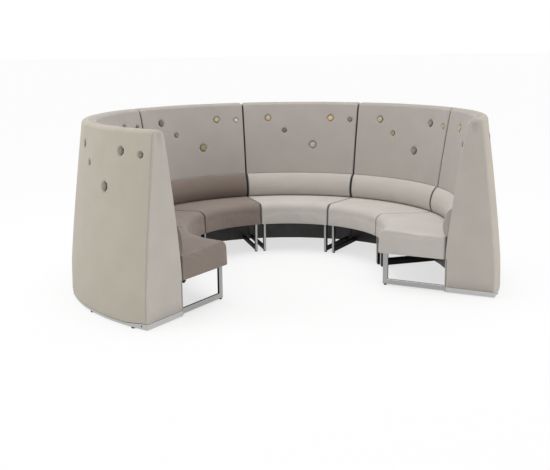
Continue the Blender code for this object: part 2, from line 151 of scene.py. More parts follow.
def edge_inset(setback: float | np.ndarray, rounding: np.ndarray) -> np.ndarray:
    """Return how far a surface draws in at a distance from its rounded edge.

    Args:
        setback: Distance from the edge.
        rounding: Radius of the edge's rounding at every point.

    Returns:
        Depths in metres, one for each point.
    """
    share = np.clip(1.0 - setback / rounding, 0.0, 1.0)
    return rounding * (1.0 - np.sqrt(1.0 - share ** 2))


def outward_directions(outline: np.ndarray) -> np.ndarray:
    """Return the outward direction at each point of a closed, anticlockwise outline."""
    run = np.roll(outline, -1, axis=0) - np.roll(outline, 1, axis=0)
    outward = np.stack([run[:, 1], -run[:, 0]], axis=-1)
    return outward / np.linalg.norm(outward, axis=1, keepdims=True)


def unevenness(first: np.ndarray, second: np.ndarray, seed: int, draws: tuple[int, int],
               turns: float, growth: float) -> np.ndarray:
    """Return a sum of waves over two coordinates, each wave finer and lower than the last.

    Args:
        first: First coordinate of every point.
        second: Second coordinate of every point.
        seed: Seed of the waves' phases.
        draws: How many waves there are, and how many phases are drawn for each.
        turns: Radians a metre of the first wave.
        growth: Radians a metre that each further wave has more.

    Returns:
        A value for each point, about -1 to 1.
    """
    total = np.zeros(first.shape)
    phases = np.random.default_rng(seed).uniform(0.0, 2 * math.pi, draws)
    for index, phase in enumerate(phases):
        pitch = turns + growth * index
        total += (np.sin(first * pitch + phase[0]) * np.sin(second * pitch + phase[1])
                  / (1.0 + index))
    return total


def closed_loft(sections: np.ndarray) -> tuple[np.ndarray, list[tuple[int, ...]]]:
    """Join sections that stand across an arc, and close both ends with smaller rings.

    Args:
        sections: Points by section and place round it.

    Returns:
        All points, and the faces.
    """
    count, around = sections.shape[:2]
    points = [sections.reshape(-1, 3)]
    place = np.arange(around)
    following = (place + 1) % around

    def band(near: np.ndarray, far: np.ndarray) -> np.ndarray:
        """Return the faces between two rings, from the first vertex of each."""
        near, far = np.asarray(near)[..., None], np.asarray(far)[..., None]
        return np.stack([near + place, near + following, far + following, far + place],
                        axis=-1).reshape(-1, 4)

    columns = np.arange(count - 1) * around
    faces = [tuple(quad) for quad in band(columns, columns + around).tolist()]
    total = count * around
    for end in (0, count - 1):
        rim, before = sections[end], end * around
        middle = (rim.min(axis=0) + rim.max(axis=0)) / 2
        for share in CAP_SHARES:
            points.append(middle + (rim - middle) * share)
            faces += [tuple(quad) for quad in band(before, total).tolist()]
            before, total = total, total + around
        points.append(middle[None, :])
        faces += [(before + a, before + b, total) for a, b in zip(place.tolist(),
                                                                 following.tolist())]
        total += 1
    return np.concatenate(points), faces


# Finishes


def feed(tree: bpy.types.NodeTree, node: bpy.types.Node, inputs: dict[str | int, object]) -> None:
    """Set inputs of a node.

    Args:
        tree: Tree that the node is in.
        node: The node.
        inputs: A socket to link, or else the input's own value, by its name or place.
    """
    for place, value in inputs.items():
        if isinstance(value, Socket):
            tree.links.new(value, node.inputs[place])
        else:
            node.inputs[place].default_value = value


def add_node(tree: bpy.types.NodeTree, kind: str, inputs: dict[str | int, object] | None = None,
             **properties: object) -> bpy.types.Node:
    """Add a node to a tree.

    Args:
        tree: Tree that the node goes into.
        kind: The node's Blender type.
        inputs: Socket or value of each input that is set, by its name or place.
        properties: Values of the node's own properties.

    Returns:
        The node.
    """
    node = tree.nodes.new(kind)
    for name, value in properties.items():
        setattr(node, name, value)
    feed(tree, node, inputs or {})
    return node


def calculate(tree: bpy.types.NodeTree, operation: str, *values: float | Socket) -> Socket:
    """Add a Math node.

    Args:
        tree: Tree that the node goes into.
        operation: What the node does.
        values: Numbers or sockets for its inputs, in order.

    Returns:
        The socket of its result.
    """
    inputs = dict(enumerate(values))
    return add_node(tree, "ShaderNodeMath", inputs, operation=operation).outputs[0]


class SharedGroups:
    """Shader node groups that several finishes use, each built once."""

    built: ClassVar[dict[str, bpy.types.ShaderNodeTree]] = {}
    fibres_a_thread: ClassVar[float] = 0.45
    least_cosine: ClassVar[float] = 0.64

    @classmethod
    def weave(cls) -> bpy.types.ShaderNodeTree:
        """Return the group of a plain weave.

        Inputs are Position in metres, Pitch of the threads in metres and Fuzz, a
        share of loose fibre.  Outputs are Height and Shade, both from 0 to 1.

        Returns:
            The group's tree.
        """
        if "weave" in cls.built:
            return cls.built["weave"]
        tree, given, result = cls._start(
            "weave", {"Position": "Vector", "Pitch": "Float", "Fuzz": "Float"},
            {"Height": "Float", "Shade": "Float"})
        position, pitch, fuzz = (given.outputs[name] for name in ("Position", "Pitch", "Fuzz"))
        split = add_node(tree, "ShaderNodeSeparateXYZ", {0: position})
        turns = calculate(tree, "DIVIDE", 2.0 * math.pi, pitch)
        waves = [calculate(tree, "SINE", calculate(tree, "MULTIPLY", split.outputs[axis], turns))
                 for axis in ("X", "Y")]
        threads = calculate(tree, "MULTIPLY_ADD", calculate(tree, "MULTIPLY", *waves), 0.5, 0.5)
        fibre = add_node(tree, "ShaderNodeTexNoise", {
            "Vector": position, "Detail": 3.0,
            "Scale": calculate(tree, "DIVIDE", cls.fibres_a_thread, pitch)}).outputs["Fac"]
        blend = add_node(tree, "ShaderNodeMix", {"Factor": fuzz, "A": threads, "B": fibre})
        feed(tree, result, {"Height": blend.outputs["Result"], "Shade": fibre})
        return tree

    @classmethod
    def mottle(cls) -> bpy.types.ShaderNodeTree:
        """Return the group of soft uneven patches.

        Inputs are Position in metres, Scale in patches a metre, Low and High.  The
        output Value wanders between Low and High over the surface.

        Returns:
            The group's tree.
        """
        if "mottle" in cls.built:
            return cls.built["mottle"]
        tree, given, result = cls._start(
            "mottle", {"Position": "Vector", "Scale": "Float", "Low": "Float", "High": "Float"},
            {"Value": "Float"})
        noise = add_node(tree, "ShaderNodeTexNoise", {
            "Vector": given.outputs["Position"], "Scale": given.outputs["Scale"], "Detail": 4.0})
        spread = add_node(tree, "ShaderNodeMapRange", {
            "Value": noise.outputs["Fac"], "From Min": 0.3, "From Max": 0.7,
            "To Min": given.outputs["Low"], "To Max": given.outputs["High"]})
        feed(tree, result, {"Value": spread.outputs["Result"]})
        return tree

    @classmethod
    def facing(cls) -> bpy.types.ShaderNodeTree:
        """Return the group that finds the faces that look one way.

        Input is Direction, of any length.  The output Mask is 1 where the surface looks
        within about 50 degrees of it, or else 0.

        Returns:
            The group's tree.
        """
        if "facing" in cls.built:
            return cls.built["facing"]
        tree, given, result = cls._start("facing", {"Direction": "Vector"}, {"Mask": "Float"})
        unit = add_node(tree, "ShaderNodeVectorMath", {0: given.outputs["Direction"]},
                        operation="NORMALIZE")
        surface = add_node(tree, "ShaderNodeTexCoord")
        cosine = add_node(tree, "ShaderNodeVectorMath",
                          {0: unit.outputs[0], 1: surface.outputs["Normal"]},
                          operation="DOT_PRODUCT").outputs["Value"]
        feed(tree, result, {"Mask": calculate(tree, "GREATER_THAN", cosine, cls.least_cosine)})
        return tree

    @classmethod
    def _start(cls, name: str, inputs: dict[str, str], outputs: dict[str, str],
               ) -> tuple[bpy.types.ShaderNodeTree, bpy.types.Node, bpy.types.Node]:
        """Make an empty group with named sockets.

        Args:
            name: Name of the group.
            inputs: Kind of every input, by its name.
            outputs: Kind of every output, by its name.

        Returns:
            The tree with its input and output nodes.
        """
        tree = bpy.data.node_groups.new(name, "ShaderNodeTree")
        for direction, sockets in (("INPUT", inputs), ("OUTPUT", outputs)):
            for socket, kind in sockets.items():
                tree.interface.new_socket(socket, in_out=direction,
                                          socket_type=f"NodeSocket{kind}")
        cls.built[name] = tree
        return tree, add_node(tree, "NodeGroupInput"), add_node(tree, "NodeGroupOutput")


class Placement(Enum):
    """Coordinates that a finish follows."""

    OBJECT = "object"
    CLOTH = "cloth"


@dataclass(frozen=True)
class Patches:
    """Soft uneven patches: how many a metre, and the values that they wander between."""

    scale: float
    low: float = 0.0
    high: float = 1.0


class Surface:
    """Nodes of one material, with the steps that several finishes share."""

    def __init__(self, material: bpy.types.Material, placement: Placement) -> None:
        """Take the material's shader, and the socket with the place on the surface.

        Args:
            material: The material.
            placement: Coordinates that it follows.
        """
        material.use_nodes = True
        self.tree = material.node_tree
        self.shader = self.tree.nodes["Principled BSDF"]
        if placement is Placement.CLOTH:
            self.position = self.add("ShaderNodeUVMap", uv_map=CLOTH_MAP).outputs["UV"]
        else:
            self.position = self.add("ShaderNodeTexCoord").outputs["Object"]

    def add(self, kind: str, inputs: dict[str | int, object] | None = None,
            **properties: object) -> bpy.types.Node:
        """Return a new node with its inputs and properties set."""
        return add_node(self.tree, kind, inputs, **properties)

    def shade(self, inputs: dict[str, object]) -> None:
        """Set inputs of the material's shader."""
        feed(self.tree, self.shader, inputs)

    def mottle(self, patches: Patches, around: float = 0.0,
               position: Socket | None = None) -> Socket:
        """Return a value that wanders over the surface.

        Args:
            patches: Its patches.
            around: Value that is added to both ends of their range.
            position: Place on the surface, where it isn't the material's own.

        Returns:
            The value's socket.
        """
        inputs = {"Position": self.position if position is None else position,
                  "Scale": patches.scale, "Low": around + patches.low,
                  "High": around + patches.high}
        return self.add("ShaderNodeGroup", inputs,
                        node_tree=SharedGroups.mottle()).outputs["Value"]

    def mixed(self, factor: Socket, first: object, second: object) -> Socket:
        """Return a colour that goes from the first at factor 0 to the second at 1."""
        return self.add("ShaderNodeMix", {"Factor": factor, "A": first, "B": second},
                        data_type="RGBA").outputs["Result"]

    def shades(self, colour: Triple, factor: Socket, dark: float, light: float) -> Socket:
        """Return a colour that goes from a darker to a lighter shade of itself.

        Args:
            colour: The colour between both shades.
            factor: Socket that goes from the dark shade at 0 to the light one at 1.
            dark: How bright the dark shade is.
            light: How bright the light shade is.

        Returns:
            The colour's socket.
        """
        ends = [(*(min(1.0, part * share) for part in colour), 1.0) for share in (dark, light)]
        return self.mixed(factor, *ends)

    def scaled(self, colour: Socket, factor: Socket) -> Socket:
        """Return a colour times a factor."""
        return self.add("ShaderNodeVectorMath", {0: colour, "Scale": factor},
                        operation="SCALE").outputs[0]

    def facing(self, direction: object) -> Socket:
        """Return the mask of the faces that look in a direction."""
        return self.add("ShaderNodeGroup", {"Direction": direction},
                        node_tree=SharedGroups.facing()).outputs["Mask"]

    def emboss(self, height: Socket, strength: float, distance: float) -> None:
        """Feed a relief to the shader's normal.

        Args:
            height: Socket with the height.
            strength: How strongly it shows.
            distance: Height of the relief in metres.
        """
        bump = self.add("ShaderNodeBump",
                        {"Height": height, "Strength": strength, "Distance": distance})
        self.shade({"Normal": bump.outputs["Normal"]})


@dataclass(frozen=True)
class Finish:
    """What every finish shares: a name, a colour, how rough it is and what it follows."""

    name: str
    colour: Triple
    roughness: float = 0.5
    placement: Placement = Placement.OBJECT
    built: ClassVar[dict[str, bpy.types.Material]] = {}

    def material(self) -> bpy.types.Material:
        """Build the finish's material the first time it is asked for.

        Returns:
            The material.
        """
        if self.name not in self.built:
            material = self.built[self.name] = bpy.data.materials.new(self.name)
            self.dress(Surface(material, self.placement))
        return self.built[self.name]

    def dress(self, surface: Surface) -> None:
        """Fill in the nodes of the finish's material."""
        raise NotImplementedError


@dataclass(frozen=True)
class Fabric(Finish):
    """Woven upholstery cloth with a melange yarn."""

    roughness: float = 0.92
    gloss: Patches = Patches(40.0, -0.05, 0.04)
    placement: Placement = Placement.CLOTH
    pitch: float = 1.6 * MILLIMETRE
    fuzz: float = 0.45
    melange: float = 0.12
    handled: Patches = Patches(5.0, 0.965, 1.03)
    sheen: float = 0.12
    sheen_roughness: float = 0.5
    specular: float = 0.25
    # How much the painted shade darkens the cloth where it is full.
    painted_shade_strength: float = 0.8
    relief: float = 0.35 * MILLIMETRE

    def dress(self, surface: Surface) -> None:
        """Weave in two yarn shades, with wide soft patches where the cloth was handled.

        Args:
            surface: Nodes of the material.
        """
        weave = surface.add("ShaderNodeGroup", {"Position": surface.position,
                                                "Pitch": self.pitch, "Fuzz": self.fuzz},
                            node_tree=SharedGroups.weave())
        yarn = surface.shades(self.colour, weave.outputs["Shade"], 1 - self.melange,
                              1 + self.melange)
        worn = surface.scaled(yarn, surface.mottle(self.handled))
        # Painted shade: the mesh's attribute darkens the base colour where shade would fall.
        painted_shades = surface.add("ShaderNodeAttribute", attribute_name=PAINTED_SHADE).outputs["Fac"]
        shade_factor = calculate(surface.tree, "MULTIPLY_ADD", painted_shades, -self.painted_shade_strength, 1.0)
        surface.shade({"Base Color": surface.scaled(worn, shade_factor),
                       "Roughness": surface.mottle(self.gloss, self.roughness),
                       "Sheen Weight": self.sheen,
                       "Sheen Roughness": self.sheen_roughness,
                       "Specular IOR Level": self.specular})
        surface.emboss(weave.outputs["Height"], 0.5, self.relief)


@dataclass(frozen=True)
class Laminate(Finish):
    """Black laminated board with a fine hammered grain, and a lipping on one side."""

    roughness: float = 0.42
    gloss: Patches = Patches(9.0, -0.08, 0.1)
    scuffs: Patches = Patches(14.0)
    grain: Patches = Patches(900.0)
    relief: float = 0.15 * MILLIMETRE
    edged: Triple = (0.0, 0.0, 0.0)
    edging: Triple = (0.36, 0.34, 0.32)

    def dress(self, surface: Surface) -> None:
        """Add scuffs to the gloss, a fine grain and the lipping.

        Args:
            surface: Nodes of the material.
        """
        board = surface.shades(self.colour, surface.mottle(self.scuffs), 0.85, 1.2)
        surface.shade({
            "Base Color": surface.mixed(surface.facing(self.edged), board, (*self.edging, 1.0)),
            "Roughness": surface.mottle(self.gloss, self.roughness)})
        surface.emboss(surface.mottle(self.grain), 0.25, self.relief)


@dataclass(frozen=True)
class SatinSteel(Finish):
    """Satin steel with faint grinding marks."""

    roughness: float = 0.28
    gloss: Patches = Patches(22.0, -0.05, 0.07)
    marks: Patches = Patches(1600.0)
    stretch: Triple = (0.04, 0.04, 1.0)
    relief: float = 0.05 * MILLIMETRE

    def dress(self, surface: Surface) -> None:
        """Add grinding marks that run level, and a slightly uneven gloss.

        Args:
            surface: Nodes of the material.
        """
        level = surface.add("ShaderNodeMapping",
                            {"Vector": surface.position, "Scale": self.stretch})
        marks = surface.mottle(self.marks, position=level.outputs["Vector"])
        surface.shade({"Base Color": surface.shades(self.colour, marks, 0.95, 1.04),
                       "Metallic": 1.0,
                       "Roughness": surface.mottle(self.gloss, self.roughness)})
        surface.emboss(marks, 0.12, self.relief)


@dataclass(frozen=True)
class FrameSteel(SatinSteel):
    """Steel tube: satin steel on the faces towards the ring's middle, and painted shade, near
    black, on the others.
    """

    # Colour, roughness and specular of the painted shade on the faces away from the middle.
    painted_shade_colour: Triple = (0.018, 0.018, 0.018)
    painted_shade_roughness: float = 0.6
    painted_shade_specular: float = 0.1
    centre: Triple = (0.0, 0.0, 0.0)
    side: Triple = (0.0, 0.0, 0.0)

    def dress(self, surface: Surface) -> None:
        """Paint shade, near black, over the satin steel on the faces that don't show it.

        Args:
            surface: Nodes of the material.
        """
        super().dress(surface)
        steel, gloss = (surface.shader.inputs[name].links[0].from_socket
                        for name in ("Base Color", "Roughness"))
        unshaded_faces = self.unshaded_faces(surface)
        rough = surface.add("ShaderNodeMix",
                            {"Factor": unshaded_faces, "A": self.painted_shade_roughness, "B": gloss})
        surface.shade({"Base Color": surface.mixed(unshaded_faces, (*self.painted_shade_colour, 1.0), steel),
                       "Metallic": unshaded_faces,
                       "Roughness": rough.outputs["Result"],
                       "Specular IOR Level": self.painted_shade_specular})

    def unshaded_faces(self, surface: Surface) -> Socket:
        """Find the faces that keep the satin steel: the front ones, and those towards the side.

        Args:
            surface: Nodes of the material.

        Returns:
            The socket of their mask.
        """
        inward = surface.add("ShaderNodeVectorMath", {0: self.centre, 1: surface.position},
                             operation="SUBTRACT")
        level = surface.add("ShaderNodeVectorMath", {0: inward.outputs[0], 1: (1.0, 1.0, 0.0)},
                            operation="MULTIPLY")
        return calculate(surface.tree, "MAXIMUM", surface.facing(level.outputs[0]),
                         surface.facing(self.side))


@dataclass(frozen=True)
class MouldedPlastic(Finish):
    """Matte black plastic."""

    roughness: float = 0.6
    grain: Patches = Patches(1500.0)
    specular: float = 0.2
    relief: float = 0.1 * MILLIMETRE

    def dress(self, surface: Surface) -> None:
        """Add the fine spark-eroded grain of a mould.

        Args:
            surface: Nodes of the material.
        """
        grain = surface.mottle(self.grain)
        surface.shade({"Base Color": surface.shades(self.colour, grain, 0.9, 1.15),
                       "Roughness": self.roughness,
                       "Specular IOR Level": self.specular})
        surface.emboss(grain, 0.3, self.relief)


OUTER_FABRIC = Fabric("outer_wool", (0.507, 0.468, 0.396))
INNER_FABRIC = Fabric("inner_wool", (0.439, 0.406, 0.377))
END_FABRIC = Fabric("end_wool", (0.484, 0.453, 0.413))
TAUPE_FABRIC = Fabric("taupe_wool", (0.227, 0.184, 0.158), pitch=1.3 * MILLIMETRE, sheen=0.2)
PALE_FABRIC = Fabric("pale_wool", (0.524, 0.496, 0.459), pitch=1.3 * MILLIMETRE, sheen=0.2)
BLACK_LAMINATE = Laminate("black_laminate", (0.052, 0.050, 0.048))
TUBE_COLOUR = (0.375, 0.375, 0.37)
RAIL_STEEL = SatinSteel("rail_steel", (0.50, 0.50, 0.495), roughness=0.5)
BLACK_PLASTIC = MouldedPlastic("moulded_plastic", (0.020, 0.020, 0.020))


class ButtonTone(Enum):
    """Cloths that the buttons are covered with."""

    GOLD = (0.54, 0.46, 0.26)
    LIME = (0.52, 0.50, 0.31)
    OLIVE = (0.36, 0.315, 0.16)
    APRICOT = (0.76, 0.53, 0.34)
    SAND = (0.60, 0.47, 0.29)
    WHITE = (0.70, 0.66, 0.62)
    PALE = (0.50, 0.465, 0.44)
    GREY = (0.26, 0.24, 0.22)
    CHARCOAL = (0.18, 0.17, 0.155)
    BEIGE = (0.27, 0.245, 0.205)

    def finish(self) -> Fabric:
        """Return the finish of this tone."""
        return Fabric(f"button_{self.name.lower()}", self.value, placement=Placement.OBJECT,
                      pitch=1.0 * MILLIMETRE, fuzz=0.8, sheen=0.25)


# The ring and what stands on it


@dataclass(frozen=True)
class Ring:
    """Circle of equal modules that the sofa stands on."""

    modules: int = 6
    module_angle: float = math.radians(44)
    plinth_radius: float = 1.734
    fan_length: float = 0.12

    @property
    def half_angle(self) -> float:
        """Half the angle of a module."""
        return self.module_angle / 2

    def turn(self, number: int) -> float:
        """Return the angle of a module's middle on the ring."""
        return self.module_angle * (number - (self.modules + 1) / 2)

    def is_free(self, number: int, sign: int) -> bool:
        """Return whether a module's end meets no other module."""
        return number == (1 if sign < 0 else self.modules)

    def place(self, number: int) -> Matrix:
        """Return the matrix that takes a module's own frame to its place."""
        centre = Vector((0.0, CAD_BOX[1].y - self.plinth_radius, 0.0))
        return Matrix.Translation(centre) @ Matrix.Rotation(-self.turn(number), 4, "Z")

    @staticmethod
    def points(radius: np.ndarray, angle: np.ndarray, height: np.ndarray) -> np.ndarray:
        """Return points of the module's own frame.

        Args:
            radius: Distances from the ring's axis.
            angle: Angles from the module's middle.
            height: Heights over the floor.

        Returns:
            The points, with x, y and z on the last axis.
        """
        return np.stack(np.broadcast_arrays(radius * np.sin(angle), radius * np.cos(angle),
                                            height), axis=-1)

    @staticmethod
    def polar(points: np.ndarray) -> tuple[np.ndarray, np.ndarray]:
        """Return the radius and the angle of points of a module's own frame."""
        return np.hypot(points[..., 0], points[..., 1]), np.arctan2(points[..., 0], points[..., 1])

    def from_ends(self, radius: np.ndarray, depth: float | np.ndarray) -> np.ndarray:
        """Return the angle from a module's middle of points that lie near its end.

        Args:
            radius: Distances from the ring's axis.
            depth: Distances from the end plane.

        Returns:
            Angles, always positive.
        """
        return self.half_angle - np.arcsin(np.clip(depth / radius, -1.0, 1.0))

    def spread(self, radius: np.ndarray, depth: float, setback: float, reference: float,
               straight_to: float) -> np.ndarray:
        """Return angles that keep level with the end plane near it, and fan out further in.

        Args:
            radius: Distances from the ring's axis.
            depth: Distance from the end plane, near the end.
            setback: Distance from the end, further in.
            reference: Radius at which that distance is measured.
            straight_to: Distance at which the fan begins.

        Returns:
            Angles from the module's middle, always positive.
        """
        fan = float(ramp(setback, straight_to, self.fan_length))
        straight = self.from_ends(radius, depth)
        return straight * (1.0 - fan) + (self.half_angle - setback / reference) * fan


@dataclass(frozen=True)
class ButtonPattern:
    """Where the covered buttons sit on each face of a back, and their cloths."""

    radius: float = 0.0255
    inner_across: tuple[float, ...] = (-0.283, -0.142, 0.11, 0.26, 0.434)
    outer_across: tuple[float, ...] = (-0.247, -0.12, 0.106, 0.245, 0.41)
    heights: tuple[float, ...] = (0.888, 0.798, 0.694, 0.887, 0.878)
    sizes: tuple[float, ...] = (1.0, 0.75, 1.15, 1.0, 0.75)
    outer_tones: tuple[ButtonTone, ...] = (ButtonTone.BEIGE,) * 5
    tones: dict[int, tuple[ButtonTone, ...]] = field(default_factory=lambda: {
        1: (ButtonTone.GOLD, ButtonTone.GREY, ButtonTone.CHARCOAL, ButtonTone.GREY,
            ButtonTone.OLIVE),
        2: (ButtonTone.GREY, ButtonTone.OLIVE, ButtonTone.GREY, ButtonTone.CHARCOAL,
            ButtonTone.CHARCOAL),
        3: (ButtonTone.CHARCOAL, ButtonTone.GREY, ButtonTone.OLIVE, ButtonTone.LIME,
            ButtonTone.WHITE),
        4: (ButtonTone.SAND, ButtonTone.CHARCOAL, ButtonTone.PALE, ButtonTone.APRICOT,
            ButtonTone.GREY),
        5: (ButtonTone.GOLD, ButtonTone.OLIVE, ButtonTone.GREY, ButtonTone.GREY,
            ButtonTone.GOLD),
        6: (ButtonTone.GOLD, ButtonTone.GREY, ButtonTone.GREY, ButtonTone.OLIVE,
            ButtonTone.GREY),
    })


@dataclass
class BackCover:
    """Upholstered back of a module: core, foam and two cloths as one closed skin."""

    ring: Ring
    buttons: ButtonPattern
    foot_inner: float = 1.342
    foot_outer: float = 1.732
    rim_outer: float = 1.583
    inner_lean: float = 0.144
    inner_power: float = 1.31
    outer_power: float = 1.2
    lean_start: float = 0.285
    rim_round: float = 0.032
    hem: float = 0.004
    panel_top: float = 0.2653
    panel_step: float = 0.0093
    fine_from: float = 0.855
    fine_to: float = 1.24
    fine_pitch: float = 0.0048
    coarse_pitch: float = 0.03
    dish_depth: float = 0.0125
    dish_rim: float = 0.92
    dish_spread: float = 1.6
    dish_reach: float = 0.04
    folds: tuple[float, float] = (0.07, 0.05)
    slack: float = 0.0012
    slack_spread: float = 3.2
    end_gap: float = 0.0003
    slot_half: float = 0.0060
    slot_depth: float = 0.034
    slot_wall: float = 0.03 * MILLIMETRE
    outer_slot_half: float = 0.0022
    outer_slot_depth: float = 0.018
    joint_round: float = 0.013
    joint_corner_round: float = 0.030
    edge_round: float = 0.010
    corner_round: float = 0.033
    corner_height: float = 0.05
    seam_from_end: float = 0.013
    seam_depth: float = 0.0018
    seam_width: float = 0.0022
    # Painted shade: how much it darkens the cloth along the seams, over the rim top, at the hem,
    # in the joints' slots and in the buttons' dishes.
    seam_shade: float = 0.3
    rim_shade: float = 0.17
    rim_shade_range: tuple[float, float] = (0.014, 0.010)
    hem_shade: float = 0.7
    slot_shade_ease: float = 0.002
    dish_shade: float = 0.375
    dish_shade_range: tuple[float, float] = (0.95, 0.4)
    band_top: float = 0.6535
    tuck: float = 0.0095
    tuck_height: float = 0.22
    dip: float = 0.019
    dip_start: float = 0.055
    dip_length: float = 0.165
    dip_from: float = 1.62
    dip_ease: float = 0.05
    dip_height: float = 0.08
    straight_to: float = 0.036
    ripple: float = 0.0008
    ripple_seed: int = 40
    ripple_turns: tuple[float, float] = (7.0, 2.6)
    ripple_squash: float = 0.8
    ripple_from_end: tuple[float, float] = (0.02, 0.08)
    ripple_above: tuple[float, float] = (0.1, 0.1)
    map_radius: float = 1.6
    map_lean: float = 0.2
    free_end_steps: ClassVar[tuple[float, ...]] = (
        0.0, 0.12, 0.4, 0.9, 1.6, 2.6, 3.8, 5.2, 7.0, 9.0, 10.5, 11.5, 12.2, 13.0, 13.8, 14.5,
        15.5, 17.5, 20, 23.5, 27, 31, 35)
    past_slot_steps: ClassVar[tuple[float, ...]] = (
        -0.06, 0.0, 0.15, 0.5, 1.1, 2, 3.2, 4.8, 6.6, 9, 11.5)
    joint_steps: ClassVar[tuple[float, ...]] = (20, 23, 27, 31, 35)

    def __post_init__(self) -> None:
        """Read the shell's bottom and top from the frame."""
        low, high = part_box("back_shell_1")
        self.bottom, self.top = low.z, high.z
        self.middle = (self.foot_inner + self.foot_outer) / 2

    def inner_radius(self, height: np.ndarray) -> np.ndarray:
        """Return the radius of the inner face at a height."""
        share = np.maximum(0.0, (height - self.lean_start) / (self.top - self.lean_start))
        return self.foot_inner + self.inner_lean * share ** self.inner_power

    def outer_radius(self, height: np.ndarray) -> np.ndarray:
        """Return the radius of the outer face, tucked in at its foot, at a height."""
        share = np.maximum(0.0, (height - self.bottom) / (self.top - self.bottom))
        tuck = self.tuck * (1.0 - ramp(height, self.bottom, self.tuck_height))
        flare = (self.foot_outer - self.rim_outer) * share ** self.outer_power
        return self.foot_outer - flare - tuck

    def dip_at(self, from_end: np.ndarray) -> np.ndarray:
        """Return how much lower the outer cloth ends, at a distance from an end plane."""
        return self.dip * np.clip((from_end - self.dip_start) / self.dip_length, 0.0, 1.0)

    def half_outlines(self) -> tuple[np.ndarray, np.ndarray]:
        """Return the outer and the inner half of the section.

        Returns:
            Rows of radius and height, as many in each half, from the middle of the
            underside to the middle of the rim.
        """
        rim = self.top - self.rim_round
        low = np.append(self.bottom, np.linspace(self.bottom + self.hem, self.panel_top, 7))
        middle = np.linspace(self.panel_top + 0.002, self.fine_from,
                             round((self.fine_from - self.panel_top) / self.coarse_pitch))
        groove = self.band_top + self.seam_width * np.linspace(-2.0, 2.0, 9)
        clear = (middle < groove[0] - 0.003) | (middle > groove[-1] + 0.003)
        middle = np.sort(np.concatenate([middle[clear], groove]))
        fine = np.arange(self.fine_from, self.fine_to, self.fine_pitch)[1:]
        upper = np.linspace(self.fine_to, rim, 5)
        heights = np.concatenate([low, middle, fine, upper])
        turns = np.linspace(0.0, math.pi / 2, 9)[1:]
        halves = []
        crest = (self.inner_radius(rim) + self.outer_radius(rim)) / 2
        for side, radius in ((1, self.outer_radius(heights)), (-1, self.inner_radius(heights))):
            if side < 0:
                radius[:len(low)] = self.foot_inner + self.panel_step
            underside = np.linspace(self.middle, radius[0] - side * 0.05, 3)
            centre = radius[-1] - side * self.rim_round
            fillet = np.stack([centre + side * self.rim_round * np.cos(turns),
                               rim + self.rim_round * np.sin(turns)], axis=-1)
            flat = np.linspace(fillet[-1, 0], crest, 8)[1:]
            halves.append(np.concatenate([
                np.stack([underside, np.full(3, self.bottom)], axis=-1),
                np.stack([radius, heights], axis=-1), fillet,
                np.stack([flat, np.full(7, self.top)], axis=-1)]))
        return halves[0], halves[1]

    def section(self) -> np.ndarray:
        """Return the closed section, anticlockwise from the middle of the underside."""
        outer, inner = self.half_outlines()
        return np.concatenate([outer, inner[-2:0:-1]])

    def outward(self, outline: np.ndarray) -> np.ndarray:
        """Find which way the section faces, with its lower corners facing level.

        Args:
            outline: The section's (radius, height) rows.

        Returns:
            The outward direction at each point.
        """
        outward = outward_directions(outline)
        radius = outline[:, 0]
        under = outline[:, 1] < self.bottom + MILLIMETRE
        outward[under & (radius >= radius[under].max())] = (1.0, 0.0)
        outward[under & (radius <= radius[under].min())] = (-1.0, 0.0)
        return outward

    def columns(self, number: int) -> tuple[np.ndarray, np.ndarray]:
        """Return where the columns of the skin stand.

        Args:
            number: The module's number.

        Returns:
            The distance from the nearer end, and the side of that end, for every column.
        """
        slot = self.slot_half / MILLIMETRE
        joint_steps = (0.0, slot * 0.5, *(slot + step for step in self.past_slot_steps),
                       *self.joint_steps)
        reach = self.ring.half_angle * self.middle
        depths, sides = [], []
        for sign in (-1, 1):
            free = self.ring.is_free(number, sign)
            near = np.array(self.free_end_steps if free else joint_steps) * MILLIMETRE
            count = round((reach - near[-1]) / self.fine_pitch)
            inner = np.linspace(near[-1], reach - self.end_gap, count + 1)[1:]
            depth = np.concatenate([near, inner if sign < 0 else inner[:-1]]) + self.end_gap
            depths.append(depth if sign < 0 else depth[::-1])
            sides.append(np.full(len(depth), float(sign)))
        return np.concatenate(depths), np.concatenate(sides)

    @staticmethod
    def faces_in(outward: np.ndarray) -> np.ndarray:
        """Return how much the section faces the ring's middle, from 0 to 1."""
        return smooth_step(0.5 - outward[:, 0])

    def slot_at(self, outward: np.ndarray) -> np.ndarray:
        """Return half the width of a joint's slot, wide inside and narrow outside."""
        wider = (self.slot_half - self.outer_slot_half) * self.faces_in(outward)
        return self.outer_slot_half + wider

    def shade(self, setback: float, outward: np.ndarray, heights: np.ndarray,
              free: bool) -> np.ndarray:
        """Return the painted shade in a joint's slot, over the rim top and along the hem.

        Args:
            setback: Distance from the end of the skin.
            outward: Outward directions round the section.
            heights: Heights round the section.
            free: Whether the end shows, instead of meeting the next module.

        Returns:
            Painted shades from 0 to 1, one for each point round the section.
        """
        below, ease = self.rim_shade_range
        rim = self.rim_shade * ramp(heights, self.top - below, ease)
        hem = np.where(heights < self.bottom + self.hem / 2, self.hem_shade, 0.0)
        if free:
            return np.maximum(hem * (setback > self.hem), rim)
        slot = 1.0 - ramp(setback, self.slot_at(outward), self.slot_shade_ease)
        return np.maximum(np.maximum(hem, rim), slot)

